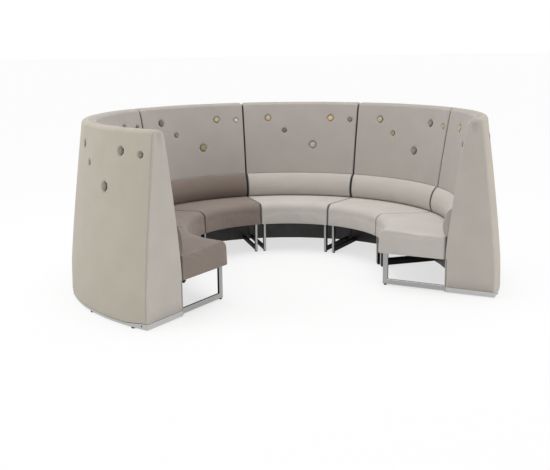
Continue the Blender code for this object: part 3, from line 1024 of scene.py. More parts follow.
    def end_insets(self, setback: float, outward: np.ndarray, heights: np.ndarray,
                   free: bool) -> np.ndarray:
        """Return how far the skin draws in at a distance from an end.

        Args:
            setback: Distance from the end of the skin.
            outward: Outward directions round the section.
            heights: Heights round the section.
            free: Whether the end shows, instead of meeting the next module.

        Returns:
            Depths, one for each point round the section.
        """
        faces_in = self.faces_in(outward)
        faces_up = ramp(heights, self.top - self.corner_height, self.corner_height)
        if free:
            rounding = self.edge_round + (self.corner_round - self.edge_round) * faces_up
            return edge_inset(setback, rounding)
        slot = self.slot_at(outward)
        deep = self.outer_slot_depth + (self.slot_depth - self.outer_slot_depth) * faces_in
        rounding = self.joint_round + (self.joint_corner_round - self.joint_round) * faces_up
        inset = edge_inset(np.maximum(setback - slot, 0.0), rounding)
        return np.where(setback < slot - self.slot_wall, np.maximum(deep, inset), inset)

    def face_point(self, side: int, across: float, height: float) -> tuple[Vector, Vector]:
        """Return a point of a face and the direction that the face looks in.

        Args:
            side: 1 for the outer face, -1 for the inner one.
            across: Place across the module, as a share of its angle.
            height: Height over the floor.

        Returns:
            The point and the direction, in the module's own frame.
        """
        radius_at = self.outer_radius if side > 0 else self.inner_radius
        angle = self.ring.module_angle * across * -side
        step = 0.01
        radius = float(radius_at(np.array(height)))
        slope = (float(radius_at(np.array(height + step))) - radius) / step
        point = Vector(Ring.points(np.array(radius), np.array(angle), np.array(height)))
        facing = Vector((math.sin(angle), math.cos(angle), -slope)) * side
        return point, facing.normalized()

    def button_spots(self, side: int) -> list[tuple[Vector, Vector, float]]:
        """Find where the buttons of a face sit.

        Args:
            side: 1 for the outer face, -1 for the inner one.

        Returns:
            The point, direction and radius of each button.
        """
        pattern = self.buttons
        places = pattern.outer_across if side > 0 else pattern.inner_across
        return [(*self.face_point(side, across, height * self.top), pattern.radius * size)
                for across, height, size in zip(places, pattern.heights, pattern.sizes)]

    def dishes(self, points: np.ndarray) -> tuple[np.ndarray, np.ndarray]:
        """Return how deep every point sinks round the buttons, and the painted shade in each dish.

        Args:
            points: Points of the skin, in the module's own frame.

        Returns:
            Depths in metres, and painted shades from 0 to 1, one for each point.
        """
        sink = np.zeros(points.shape[:-1])
        crease = np.zeros(points.shape[:-1])
        for side in (-1, 1):
            for index, (spot, facing, radius) in enumerate(self.button_spots(side)):
                offset = points - np.array(spot)
                along = offset @ np.array(facing)
                flat = offset - along[..., None] * np.array(facing)
                distance = np.linalg.norm(flat, axis=-1)
                level = np.array(Vector((0, 0, 1)).cross(facing).normalized())
                bearing = np.arctan2(flat @ np.array((0.0, 0.0, 1.0)), flat @ level)
                folds = 1.0 + self.folds[0] * np.cos(7 * bearing + index)
                folds += self.folds[1] * np.cos(4 * bearing)
                rim = radius * self.dish_rim
                slope = 1.0 - ramp(distance, rim, radius * self.dish_spread * folds - rim)
                slack = self.slack * np.exp(-((distance / (radius * self.slack_spread)) ** 2))
                near = np.abs(along) < self.dish_reach
                sink = np.maximum(sink, near * (self.dish_depth * slope + slack))
                # Painted shade in the dish, darkest next to the button.
                start, length = (radius * share for share in self.dish_shade_range)
                shade = 1.0 - ramp(distance, start, length)
                crease = np.maximum(crease, self.dish_shade * near * shade)
        return sink, crease

    def seams(self, outline: np.ndarray, setback: float, free: bool) -> np.ndarray:
        """Return how deep a seam is at every point round the section, from 0 to 1.

        Args:
            outline: The section's (radius, height) rows.
            setback: Distance from the end.
            free: Whether the end shows, and so has a seam down its outer edge.

        Returns:
            Depths from 0 to 1, one for each point round the section.
        """
        crest = (self.inner_radius(np.array(self.top)) + self.outer_radius(np.array(self.top))) / 2
        on_top = outline[:, 1] > self.top - 2 * MILLIMETRE
        seam = on_top * np.exp(-((outline[:, 0] - crest) / self.seam_width) ** 2)
        over_band = np.exp(-((outline[:, 1] - self.band_top) / self.seam_width) ** 2)
        seam = np.maximum(seam, over_band * (outline[:, 0] < self.middle))
        if free:
            outside = ramp(outline[:, 0], crest, 0.02) * (outline[:, 1] > self.bottom)
            down = np.exp(-((setback - self.seam_from_end) / self.seam_width) ** 2)
            seam = np.maximum(seam, outside * down)
        return seam

    def skin(self, number: int) -> bpy.types.Mesh:
        """Make the closed skin of a module's back.

        Args:
            number: The module's number, from the left.

        Returns:
            The mesh, in the module's own frame, with its cloth map, painted shade and materials.
        """
        outline = self.section()
        outward = self.outward(outline)
        depth, side = self.columns(number)
        sections = np.empty((len(depth), len(outline), 3))
        radial = np.empty_like(sections)
        seam = np.empty((len(depth), len(outline)))
        shade = np.empty_like(seam)
        lift = np.where(outline[:, 1] < self.bottom + self.hem, 0.0, 1.0)
        for column, (setback, sign) in enumerate(zip(depth, side)):
            free = self.ring.is_free(number, int(sign))
            inset = self.end_insets(setback - self.end_gap, outward, outline[:, 1], free)
            radius = outline[:, 0] - outward[:, 0] * inset
            height = outline[:, 1] - outward[:, 1] * inset * lift
            angle = self.ring.spread(radius, setback, setback, self.middle, self.straight_to)
            from_end = radius * np.sin(self.ring.half_angle - angle)
            hem = ramp(radius, self.dip_from, self.dip_ease)
            hem *= 1.0 - ramp(outline[:, 1], self.bottom, self.dip_height)
            height -= self.dip_at(from_end) * hem
            angle *= sign
            sections[column] = Ring.points(radius, angle, height)
            shade[column] = self.shade(setback - self.end_gap, outward, outline[:, 1], free)
            radial[column] = np.stack([np.sin(angle) * outward[:, 0],
                                       np.cos(angle) * outward[:, 0], outward[:, 1]], axis=-1)
            seam[column] = self.seams(outline, setback, free)
        sink, crease = self.dishes(sections)
        uneven = ramp(depth, *self.ripple_from_end)[:, None]
        uneven = uneven * ramp(outline[:, 1], *self.ripple_above)[None, :]
        sink += self.ripples(sections, number) * uneven + self.seam_depth * seam
        sections -= radial * sink[..., None]
        points, faces = closed_loft(sections)
        mesh = mesh_from(f"back_cover_{number}", points, faces)
        # Painted shade from the dishes, the slots, the rim top, the hem and the seams, kept as an
        # attribute that the cloth reads.
        painted_shades = np.zeros(len(points))
        painted_shades[:crease.size] = np.maximum(np.maximum(crease, shade),
                                           self.seam_shade * seam).ravel()
        mesh.attributes.new(PAINTED_SHADE, "FLOAT", "POINT").data.foreach_set("value", painted_shades)
        self.lay_cloths(mesh, number)
        return mesh

    def ripples(self, points: np.ndarray, number: int) -> np.ndarray:
        """Return the slight unevenness of foam under cloth, in metres."""
        total = unevenness(points[..., 0], points[..., 2] * self.ripple_squash,
                           self.ripple_seed + number, (6, 3), *self.ripple_turns)
        return self.ripple * (total + 1.0) / 2

    def lay_cloths(self, mesh: bpy.types.Mesh, number: int) -> None:
        """Give the skin its cloth map, and the inside, ends and rim their own cloth.

        Args:
            mesh: The skin.
            number: The module's number.
        """
        points = vertices_of(mesh)
        radius, angle = Ring.polar(points)
        up = points[:, 2] + (radius - self.map_radius) * self.map_lean
        cloth_map(mesh, angle * self.map_radius, up)
        centres = np.empty(len(mesh.polygons) * 3)
        mesh.polygons.foreach_get("center", centres)
        centres = centres.reshape(-1, 3)
        radius, angle = Ring.polar(centres)
        depth = radius * np.sin(self.ring.half_angle - np.abs(angle))
        inside = radius < (self.inner_radius(centres[:, 2]) + self.outer_radius(centres[:, 2])) / 2
        cloth = inside.astype(np.int32)
        for sign in (-1, 1):
            if self.ring.is_free(number, sign):
                cloth[(np.sign(angle) == sign) & (depth < self.seam_from_end)] = 2
        mesh.polygons.foreach_set("material_index", cloth)


def cloth_map(mesh: bpy.types.Mesh, along: np.ndarray, up: np.ndarray) -> None:
    """Lay a cloth map over a curved padded piece, in metres.

    Args:
        mesh: The piece.
        along: Way round the ring of every vertex.
        up: Way across the cloth of every vertex.
    """
    loops = np.empty(len(mesh.loops), dtype=np.int32)
    mesh.loops.foreach_get("vertex_index", loops)
    starts = np.empty(len(mesh.polygons), dtype=np.int32)
    mesh.polygons.foreach_get("loop_start", starts)
    totals = np.empty(len(mesh.polygons), dtype=np.int32)
    mesh.polygons.foreach_get("loop_total", totals)
    normals = np.empty(len(mesh.polygons) * 3)
    mesh.polygons.foreach_get("normal", normals)
    normals = normals.reshape(-1, 3)
    points = vertices_of(mesh)
    middle = points[loops[starts]]
    round_ring = np.stack([middle[:, 1], -middle[:, 0]], axis=-1)
    round_ring /= np.linalg.norm(round_ring, axis=1, keepdims=True)
    at_end = np.abs((normals[:, :2] * round_ring).sum(axis=1)) > 0.75
    on_end = np.repeat(at_end, totals)
    radius, _ = Ring.polar(points)
    across = np.where(on_end, radius[loops], along[loops])
    upward = np.where(on_end, points[loops, 2], up[loops])
    layer = mesh.uv_layers.new(name=CLOTH_MAP)
    layer.data.foreach_set("uv", np.stack([across, upward], axis=-1).ravel())


@dataclass
class Pad:
    """Padded piece that follows the ring, blown up by a short cloth simulation."""

    ring: Ring
    name: str
    pitch: float = 0.012
    middle_radius: float = 1.08
    pressure: float = 4.0
    cloth_mass: float = 0.3
    stretch_stiffness: float = 40.0
    shear_stiffness: float = 20.0
    bending_stiffness: float = 14.0
    damping: float = 4.0
    swell: float = 0.004
    frames: int = 20
    setback: float = 0.0018
    end_gap: float = 0.0010
    straight_to: float = 0.03
    joint_shade: float = 1.0
    joint_shade_range: tuple[float, float] = (0.002, 0.007)
    uneven: float = 0.0009
    uneven_above: float = 0.3
    uneven_seed: int = 90
    uneven_turns: tuple[float, float] = (9.0, 3.1)
    uneven_squash: float = 0.9
    sharp_from: float = math.radians(55)
    end_steps: ClassVar[tuple[float, ...]] = (0.0, 0.4, 1.2, 2.6, 4.6, 7.2, 10.5, 14.5, 20, 28)

    def halves(self, across: float, setback: float) -> tuple[np.ndarray, np.ndarray]:
        """Return both halves of the blank's section, as (radius, height) rows.

        Args:
            across: Place across the module, from 0 at an end to 1 in the middle.
            setback: Distance from the end, which draws the section in.

        Returns:
            Two lines with as many points, from the same first to the same last point,
            the first one on the anticlockwise way round.
        """
        raise NotImplementedError

    def held(self, points: np.ndarray) -> np.ndarray:
        """Return which points of the blank rest on something and can't swell."""
        raise NotImplementedError

    def cutters(self) -> list[bpy.types.Object]:
        """Return the bodies that are cut from the swollen pad."""
        return []

    def blank(self) -> bpy.types.Object:
        """Loft the pad's blank between two ends with rounded edges.

        Returns:
            The blank, in the module's own frame.
        """
        near = np.array(self.end_steps) * MILLIMETRE
        reach = self.ring.half_angle * self.middle_radius
        count = round((reach - near[-1]) / self.pitch)
        setbacks = np.concatenate([near, np.linspace(near[-1], reach, count + 1)[1:]])
        sections = []
        for sign, distances in ((-1, setbacks), (1, setbacks[-2::-1])):
            for setback in distances:
                first, second = self.halves(setback / reach, setback)
                outline = np.concatenate([first, second[-2:0:-1]])
                angle = self.ring.spread(outline[:, 0], setback + self.setback, setback,
                                         self.middle_radius, self.straight_to)
                sections.append(Ring.points(outline[:, 0], sign * angle, outline[:, 1]))
        points, faces = closed_loft(np.array(sections))
        return new_object(f"{self.name}_blank", mesh_from(self.name, points, faces))

    def swollen(self) -> bpy.types.Mesh:
        """Make the pad's blank, blow it up, smooth it and cut its pocket.

        Returns:
            The pad's mesh, in the module's own frame.
        """
        pad = self.blank()
        start = vertices_of(pad.data)
        moved = self.simulate(pad) - start
        length = np.linalg.norm(moved, axis=1, keepdims=True)
        capped = self.swell * np.tanh(length / self.swell)
        start = start + moved * capped / np.maximum(length, 1e-9)
        set_vertices(pad.data, start)
        finer = pad.modifiers.new("subdivision", "SUBSURF")
        finer.levels = finer.render_levels = 1
        mesh = evaluated_mesh(pad)
        pad.modifiers.clear()
        pad.data = mesh
        set_vertices(mesh, self.settled(vertices_of(mesh)))
        for cutter in self.cutters():
            cut = pad.modifiers.new("cut", "BOOLEAN")
            cut.operation, cut.solver, cut.object = "DIFFERENCE", "EXACT", cutter
            mesh = evaluated_mesh(pad)
            pad.modifiers.clear()
            pad.data = mesh
            bpy.data.objects.remove(cutter)
        bpy.data.objects.remove(pad)
        mesh.shade_smooth()
        mesh.set_sharp_from_angle(angle=self.sharp_from)
        return mesh

    def simulate(self, pad: bpy.types.Object) -> np.ndarray:
        """Blow the blank up like cloth over foam.

        Args:
            pad: The blank, with even faces.

        Returns:
            Where its vertices end up.
        """
        group = pad.vertex_groups.new(name="held")
        group.add(np.flatnonzero(self.held(vertices_of(pad.data))).tolist(), 1.0, "REPLACE")
        cloth = pad.modifiers.new("cloth", "CLOTH")
        settings = cloth.settings
        settings.quality = 4
        settings.mass = self.cloth_mass
        settings.tension_stiffness = self.stretch_stiffness
        settings.compression_stiffness = self.stretch_stiffness
        settings.shear_stiffness = self.shear_stiffness
        settings.bending_stiffness = self.bending_stiffness
        settings.air_damping = self.damping
        settings.use_pressure = True
        settings.uniform_pressure_force = self.pressure
        settings.effector_weights.gravity = 0.0
        settings.vertex_group_mass = "held"
        cloth.collision_settings.use_collision = False
        cloth.point_cache.frame_start, cloth.point_cache.frame_end = 1, self.frames
        for frame in range(1, self.frames + 1):
            bpy.context.scene.frame_set(frame)
        blown = evaluated_mesh(pad)
        points = vertices_of(blown)
        bpy.data.meshes.remove(blown)
        pad.modifiers.clear()
        pad.vertex_groups.clear()
        bpy.context.scene.frame_set(1)
        return points

    def settled(self, points: np.ndarray) -> np.ndarray:
        """Keep the swollen pad clear of the end planes.

        Args:
            points: The pad's vertices.

        Returns:
            The vertices, moved where they stood too near.
        """
        radius, angle = Ring.polar(points)
        limit = self.ring.from_ends(radius, self.end_gap)
        angle = np.clip(angle, -limit, limit)
        return Ring.points(radius, angle, points[:, 2])

    def placed(self, mesh: bpy.types.Mesh, number: int, finish: Finish) -> bpy.types.Object:
        """Set a copy of the pad in its module.

        Args:
            mesh: The swollen pad.
            number: The module's number.
            finish: Its cloth.

        Returns:
            The finished piece.
        """
        copy = mesh.copy()
        points = vertices_of(copy)
        radius, angle = Ring.polar(points)
        cloth_map(copy, angle * 1.2, radius + points[:, 2])
        # Painted shade at the joints, kept as an attribute that the cloth reads.
        copy.attributes.new(PAINTED_SHADE, "FLOAT", "POINT").data.foreach_set(
            "value", self.shade(points, number))
        set_vertices(copy, self.creased(points, number))
        copy.transform(self.ring.place(number))
        piece = new_object(f"{self.name}_{number}", copy)
        copy.materials.clear()
        copy.materials.append(finish.material())
        return piece

    def from_end(self, points: np.ndarray) -> np.ndarray:
        """Return every point's distance from the nearer end plane."""
        radius, angle = Ring.polar(points)
        return radius * np.sin(self.ring.half_angle - np.abs(angle))

    def at_free_end(self, points: np.ndarray, number: int) -> np.ndarray:
        """Return which points lie in the half with the sofa's free end."""
        left, right = (self.ring.is_free(number, sign) for sign in (-1, 1))
        return ((points[:, 0] < 0) & left) | ((points[:, 0] > 0) & right)

    def shade(self, points: np.ndarray, number: int) -> np.ndarray:
        """Return the painted shade where the cloth meets the next module, from 0 to 1."""
        start, length = self.joint_shade_range
        meets = 1.0 - ramp(self.from_end(points), self.setback + start, length)
        return np.where(self.at_free_end(points, number), 0.0, self.joint_shade * meets)

    def creased(self, points: np.ndarray, number: int) -> np.ndarray:
        """Return the vertices with the pad's own slight unevenness.

        Args:
            points: The pad's vertices, in the module's own frame.
            number: The module's number, which seeds the unevenness.

        Returns:
            The vertices, lowered a little where the pad is free.
        """
        total = unevenness(points[:, 0], points[:, 1] * self.uneven_squash,
                           self.uneven_seed + number, (5, 2), *self.uneven_turns)
        free = ~self.held(points) & (points[:, 2] > self.uneven_above)
        lowered = points.copy()
        lowered[:, 2] -= self.uneven * (total + 1.4) / 2 * free
        return lowered


@dataclass
class SeatPad(Pad):
    """Seat cushion: crowned, round at the front, with a pocket for its board."""

    front_top: float = 0.452
    rear_top: float = 0.435
    crown: float = 0.006
    underside: float = 0.261
    front: float = 0.804
    front_round: float = 0.060
    setback: float = 0.0032
    joint_shade: float = 0.6
    top_edge: float = 0.008
    front_edge: float = 0.009
    rear_edge: float = 0.009
    low_edge: float = 0.002
    waist: float = 0.335
    crown_end: float = 1.286
    rear: float = 1.339
    board_front: float = 0.832
    board_setback: float = 0.010
    board_top: float = 0.2866
    corner_shade: float = 0.5
    worn: float = 0.010
    sunk: float = 0.008
    sunk_radius: float = 1.12
    sunk_reach: float = 0.09

    def halves(self, across: float, setback: float) -> tuple[np.ndarray, np.ndarray]:
        """Return the section's halves: front and underside, then front and crowned top.

        Args:
            across: Place across the module, from 0 at an end to 1 in the middle.
            setback: Distance from the end, which draws the section in.

        Returns:
            The lower and the upper half, both from the front's middle to the rear's.
        """
        drop = edge_inset(setback, self.top_edge)
        edge, rear_edge = self.front_top - drop, self.rear_top - drop
        face = self.front + edge_inset(setback, self.front_edge)
        wall = self.rear - edge_inset(setback, self.rear_edge)
        low = self.underside + edge_inset(setback, self.low_edge)
        front = np.linspace((face, self.waist), (face, low + 0.008), 7)
        hem = np.array([(face + 0.0015, low + 0.0025), (face + 0.006, low)])
        under = np.linspace(hem[-1], (wall, low), 46)[1:]
        rear = np.linspace(under[-1], (wall, self.waist), 7)[1:]
        lower = np.concatenate([front, hem, under, rear])
        turns = np.linspace(math.pi, math.pi / 2, 11)
        centre = (face + self.front_round, edge - self.front_round)
        rise = np.linspace((face, self.waist), (face, centre[1]), 5)[:-1]
        fillet = np.stack([centre[0] + self.front_round * np.cos(turns),
                           centre[1] + self.front_round * np.sin(turns)], axis=-1)
        shares = np.linspace(0.0, 1.0, 34)[1:]
        lift = self.crown * (1 - (1 - across) ** 2)
        top = np.stack([centre[0] + (self.crown_end - centre[0]) * shares,
                        edge + (rear_edge - edge) * shares ** 1.5
                        + lift * np.sin(math.pi * shares)], axis=-1)
        back = np.linspace((self.crown_end, rear_edge), (wall - 0.005, rear_edge), 5)[1:]
        corner = np.array([(wall, rear_edge - 0.005)])
        fall = np.linspace(corner[0], (wall, self.waist), 8)[1:]
        upper = np.concatenate([rise, fillet, top, back, corner, fall])
        return lower, upper

    def held(self, points: np.ndarray) -> np.ndarray:
        """Return which points lie on the board, against the back or under the lumbar pad."""
        radius, _ = Ring.polar(points)
        return (points[:, 2] < self.underside + 0.012) | (radius > self.crown_end + 0.005)

    def shade(self, points: np.ndarray, number: int) -> np.ndarray:
        """Return the painted shade at the joints, and the painted shadow in the free end's rear
        corner.

        Args:
            points: The pad's vertices, in the module's own frame.
            number: The module's number.

        Returns:
            Painted shades from 0 to 1, one for each vertex.
        """
        radius, _ = Ring.polar(points)
        # Painted shadow in the free end's rear corner, next to the back.
        corner = self.corner_shade * ramp(radius, self.rear - 0.014, 0.008)
        corner *= 1.0 - ramp(self.from_end(points), 0.008, 0.006)
        return np.maximum(super().shade(points, number),
                          np.where(self.at_free_end(points, number), corner, 0.0))

    def creased(self, points: np.ndarray, number: int) -> np.ndarray:
        """Return the uneven pad, worn rounder and lower at the sofa's free ends.

        Args:
            points: The pad's vertices, in the module's own frame.
            number: The module's number.

        Returns:
            The vertices in their new places.
        """
        moved = super().creased(points, number)
        radius, _ = Ring.polar(points)
        from_end = self.from_end(points)
        front = smooth_step((1.05 - radius) / 0.12)
        worn = self.worn * front * (1.0 - np.clip(from_end / 0.03, 0.0, 1.0)) ** 2
        sunk = self.sunk * np.exp(-((radius - self.sunk_radius) / 0.07) ** 2)
        sunk *= 1.0 - ramp(from_end, 0.0, self.sunk_reach)
        upper = ramp(points[:, 2], 0.37, 0.04)
        moved[:, 2] -= np.where(self.at_free_end(points, number), (worn + sunk) * upper, 0.0)
        return moved

    def cutters(self) -> list[bpy.types.Object]:
        """Make the pocket that the seat board lies in.

        Returns:
            The pocket, as a hidden object in a list.
        """
        half = self.ring.half_angle
        shares = np.linspace(-half, half, 25)[1:-1]
        rows = [(-1.0, self.board_setback)] + [(angle, 0.0) for angle in shares]
        rows += [(1.0, self.board_setback)]
        inner, outer = self.board_front, self.rear + 0.02
        corners = np.array([(inner, self.underside - 0.02), (outer, self.underside - 0.02),
                            (outer, self.board_top), (inner, self.board_top)])
        sections = []
        for angle, setback in rows:
            turn = np.full(4, angle)
            if setback:
                turn = angle * self.ring.from_ends(corners[:, 0], setback)
            sections.append(Ring.points(corners[:, 0], turn, corners[:, 1]))
        faces = [(0, 1, 2, 3), tuple(range(4 * len(rows) - 4, 4 * len(rows)))]
        for column in range(len(rows) - 1):
            for place in range(4):
                following = (place + 1) % 4
                low, high = 4 * column, 4 * column + 4
                faces.append((low + place, low + following, high + following, high + place))
        pocket = new_object("board_pocket", mesh_from("board_pocket", np.concatenate(sections),
                                                      faces))
        pocket.hide_render = True
        return [pocket]


@dataclass
class LumbarPad(Pad):
    """Padded band across the back: fullest low down, thin where it is sewn in."""

    cover: BackCover | None = None
    pitch: float = 0.011
    middle_radius: float = 1.32
    setback: float = 0.0065
    low: float = 0.4390
    top: float = 0.6495
    depth: float = 0.051
    clearance: float = 0.0006
    edge: float = 0.014
    end_shade: float = 0.4
    end_reach: float = 0.08
    ups: tuple[float, ...] = (0.0, 0.06, 0.15, 0.28, 0.42, 0.56, 0.7, 0.82, 0.91, 0.97, 1.0)
    outs: tuple[float, ...] = (0.30, 0.52, 0.74, 0.93, 1.0, 0.965, 0.87, 0.71, 0.52, 0.33, 0.16)

    def halves(self, across: float, setback: float) -> tuple[np.ndarray, np.ndarray]:
        """Return the section's halves: the side against the back, then the front.

        Args:
            across: Place across the module, from 0 at an end to 1 in the middle; not used here.
            setback: Distance from the end, which draws the section in.

        Returns:
            The rear and the front half, both from the middle underneath to the top's.
        """
        shares = np.linspace(0.0, 1.0, 25)
        heights = self.low + (self.top - self.low) * shares
        drawn = 1.0 - 0.3 * edge_inset(setback, self.edge) / self.edge
        back = self.cover.inner_radius(heights) - self.clearance
        front = back - self.depth * drawn * np.interp(shares, self.ups, self.outs)
        ends = [(front[place] + back[place]) / 2 for place in (0, -1)]
        lines = []
        for line in (back, front):
            under = np.linspace(ends[0], line[0], 5)[:-1]
            over = np.linspace(line[-1], ends[1], 4)[1:]
            radius = np.concatenate([under, line, over])
            height = np.concatenate([np.full(4, heights[0]), heights, np.full(3, heights[-1])])
            lines.append(np.stack([radius, height], axis=-1))
        return lines[0], lines[1]

    def shade(self, points: np.ndarray, number: int) -> np.ndarray:
        """Return the painted shade at the joints, and the painted shadow at a free end.

        Args:
            points: The pad's vertices, in the module's own frame.
            number: The module's number.

        Returns:
            Painted shades from 0 to 1, one for each vertex.
        """
        # Painted shadow over the pad near the sofa's free end.
        shaded = self.end_shade * (1.0 - ramp(self.from_end(points), 0.0, self.end_reach))
        return np.maximum(super().shade(points, number),
                          np.where(self.at_free_end(points, number), shaded, 0.0))

    def held(self, points: np.ndarray) -> np.ndarray:
        """Return which points lie against the back, on the seat or at the top seam.

        Args:
            points: Points of the blank or the pad.

        Returns:
            Whether each point is held.
        """
        radius, _ = Ring.polar(points)
        wall = self.cover.inner_radius(points[:, 2])
        return ((radius > wall - 0.004) | (points[:, 2] < self.low + 0.009)
                | (points[:, 2] > self.top - 0.006))


# What repeats


class SetOnPoints:
    """Geometry Nodes tree that sets a shape on every point of a mesh.

    Its inputs are Shape, the object to copy, Size, a length that scales it, and
    Finish.  Each point has a direction "facing" and a share "size".
    """

    tree: ClassVar[bpy.types.GeometryNodeTree | None] = None
    sockets: ClassVar[dict[str, str]] = {}

    @classmethod
    def build(cls) -> bpy.types.GeometryNodeTree:
        """Build the tree the first time it is asked for.

        Returns:
            The tree.
        """
        if cls.tree:
            return cls.tree
        tree = bpy.data.node_groups.new("set_on_points", "GeometryNodeTree")
        for name, kind in (("Points", "NodeSocketGeometry"), ("Shape", "NodeSocketObject"),
                           ("Size", "NodeSocketFloat"), ("Finish", "NodeSocketMaterial")):
            cls.sockets[name] = tree.interface.new_socket(
                name, in_out="INPUT", socket_type=kind).identifier
        tree.interface.new_socket("Pieces", in_out="OUTPUT", socket_type="NodeSocketGeometry")
        given, result = add_node(tree, "NodeGroupInput"), add_node(tree, "NodeGroupOutput")
        points, shape, size, finish = (given.outputs[name] for name in cls.sockets)
        copied = add_node(tree, "GeometryNodeObjectInfo", {"Object": shape})
        facing, share = (add_node(tree, "GeometryNodeInputNamedAttribute", {"Name": name},
                                  data_type=kind).outputs["Attribute"]
                         for name, kind in (("facing", "FLOAT_VECTOR"), ("size", "FLOAT")))
        turned = add_node(tree, "FunctionNodeAlignRotationToVector", {"Vector": facing}, axis="Z")
        spread = add_node(tree, "GeometryNodeInstanceOnPoints", {
            "Points": points, "Instance": copied.outputs["Geometry"],
            "Rotation": turned.outputs["Rotation"],
            "Scale": calculate(tree, "MULTIPLY", share, size)})
        real = add_node(tree, "GeometryNodeRealizeInstances",
                        {"Geometry": spread.outputs["Instances"]})
        dressed = add_node(tree, "GeometryNodeSetMaterial",
                           {"Geometry": real.outputs["Geometry"], "Material": finish})
        feed(tree, result, {"Pieces": dressed.outputs["Geometry"]})
        cls.tree = tree
        return tree

    @classmethod
    def run(cls, name: str, spots: list[tuple[Vector, Vector, float]], shape: bpy.types.Object,
            size: float, finish: Finish) -> bpy.types.Object:
        """Set the shape on every spot, as one plain mesh.

        Args:
            name: Name of the piece.
            spots: Point, direction and size share of each copy.
            shape: Object that is copied, one metre in size along its sides.
            size: Length that scales every copy.
            finish: What the copies are made of.

        Returns:
            The piece.
        """
        mesh = bpy.data.meshes.new(name)
        mesh.from_pydata([tuple(point) for point, _, _ in spots], [], [])
        facing = mesh.attributes.new("facing", "FLOAT_VECTOR", "POINT")
        facing.data.foreach_set("vector", [c for _, way, _ in spots for c in way])
        share = mesh.attributes.new("size", "FLOAT", "POINT")
        share.data.foreach_set("value", [factor for _, _, factor in spots])
        piece = new_object(name, mesh)
        modifier = piece.modifiers.new("set_on_points", "NODES")
        modifier.node_group = cls.build()
        modifier[cls.sockets["Shape"]] = shape
        modifier[cls.sockets["Size"]] = size
        modifier[cls.sockets["Finish"]] = finish.material()
        plain = evaluated_mesh(piece)
        piece.modifiers.clear()
        piece.data = plain
        plain.materials.clear()
        plain.materials.append(finish.material())
        plain.polygons.foreach_set("material_index", [0] * len(plain.polygons))
        plain.shade_smooth()
        return piece


@dataclass
class TurnedShape:
    """Body turned about Z from a profile, one metre in radius."""

    name: str
    profile: tuple[tuple[float, float], ...]
    sides: int = 28
    painted_shade_from: float = 0.5
    rim_shade: float = 0.375

    def build(self) -> bpy.types.Object:
        """Turn the profile into a closed body.

        Returns:
            The body as a hidden object, to be copied.
        """
        turns = np.linspace(0.0, 2 * math.pi, self.sides, endpoint=False)
        rings = [np.stack([radius * np.cos(turns), radius * np.sin(turns),
                           np.full(self.sides, height)], axis=-1)
                 for radius, height in self.profile]
        points = np.concatenate([*rings, [[0.0, 0.0, self.profile[0][1]],
                                          [0.0, 0.0, self.profile[-1][1]]]])
        faces = []
        last = (len(rings) - 1) * self.sides
        first_pole, last_pole = len(points) - 2, len(points) - 1
        for side in range(self.sides):
            following = (side + 1) % self.sides
            faces.append((first_pole, following, side))
            faces.append((last_pole, last + side, last + following))
            for row in range(len(rings) - 1):
                low, high = row * self.sides, (row + 1) * self.sides
                faces.append((low + side, low + following, high + following, high + side))
        mesh = mesh_from(self.name, points, faces)
        # Painted shade towards the rim, which darkens a cloth-covered copy round its edge.
        away = np.hypot(points[:, 0], points[:, 1])
        mesh.attributes.new(PAINTED_SHADE, "FLOAT", "POINT").data.foreach_set(
            "value", self.rim_shade * ramp(away, self.painted_shade_from, 1.0 - self.painted_shade_from))
        shape = new_object(self.name, mesh)
        shape.hide_render = True
        return shape


@dataclass
class CoveredButtons:
    """Buttons that hold the back's foam down, one piece for each cloth and face."""

    ring: Ring
    cover: BackCover
    sink: float = 0.0078
    profile: tuple[tuple[float, float], ...] = (
        (0.90, -0.06), (0.975, 0.0), (1.0, 0.07), (0.985, 0.15), (0.93, 0.225), (0.83, 0.285),
        (0.68, 0.33), (0.50, 0.362), (0.30, 0.382), (0.12, 0.39))

    def build(self) -> list[bpy.types.Object]:
        """Set the buttons in their dishes.

        Returns:
            The pieces, one for each cloth and face.
        """
        shape = TurnedShape("button_shape", self.profile).build()
        pattern = self.cover.buttons
        sorted_spots: dict[tuple[int, ButtonTone], list] = {}
        for number in range(1, self.ring.modules + 1):
            place = self.ring.place(number)
            turn = place.to_3x3()
            for side in (-1, 1):
                tones = pattern.tones[number] if side < 0 else pattern.outer_tones
                for spot, tone in zip(self.cover.button_spots(side), tones):
                    point, facing, radius = spot
                    seat = place @ (point - facing * self.sink)
                    sorted_spots.setdefault((side, tone), []).append(
                        (seat, turn @ facing, radius / pattern.radius))
        made = []
        for (side, tone), spots in sorted_spots.items():
            face = "inner" if side < 0 else "outer"
            made.append(SetOnPoints.run(f"buttons_{face}_{tone.name.lower()}", spots, shape,
                                        pattern.radius, tone.finish()))
        bpy.data.objects.remove(shape)
        return made


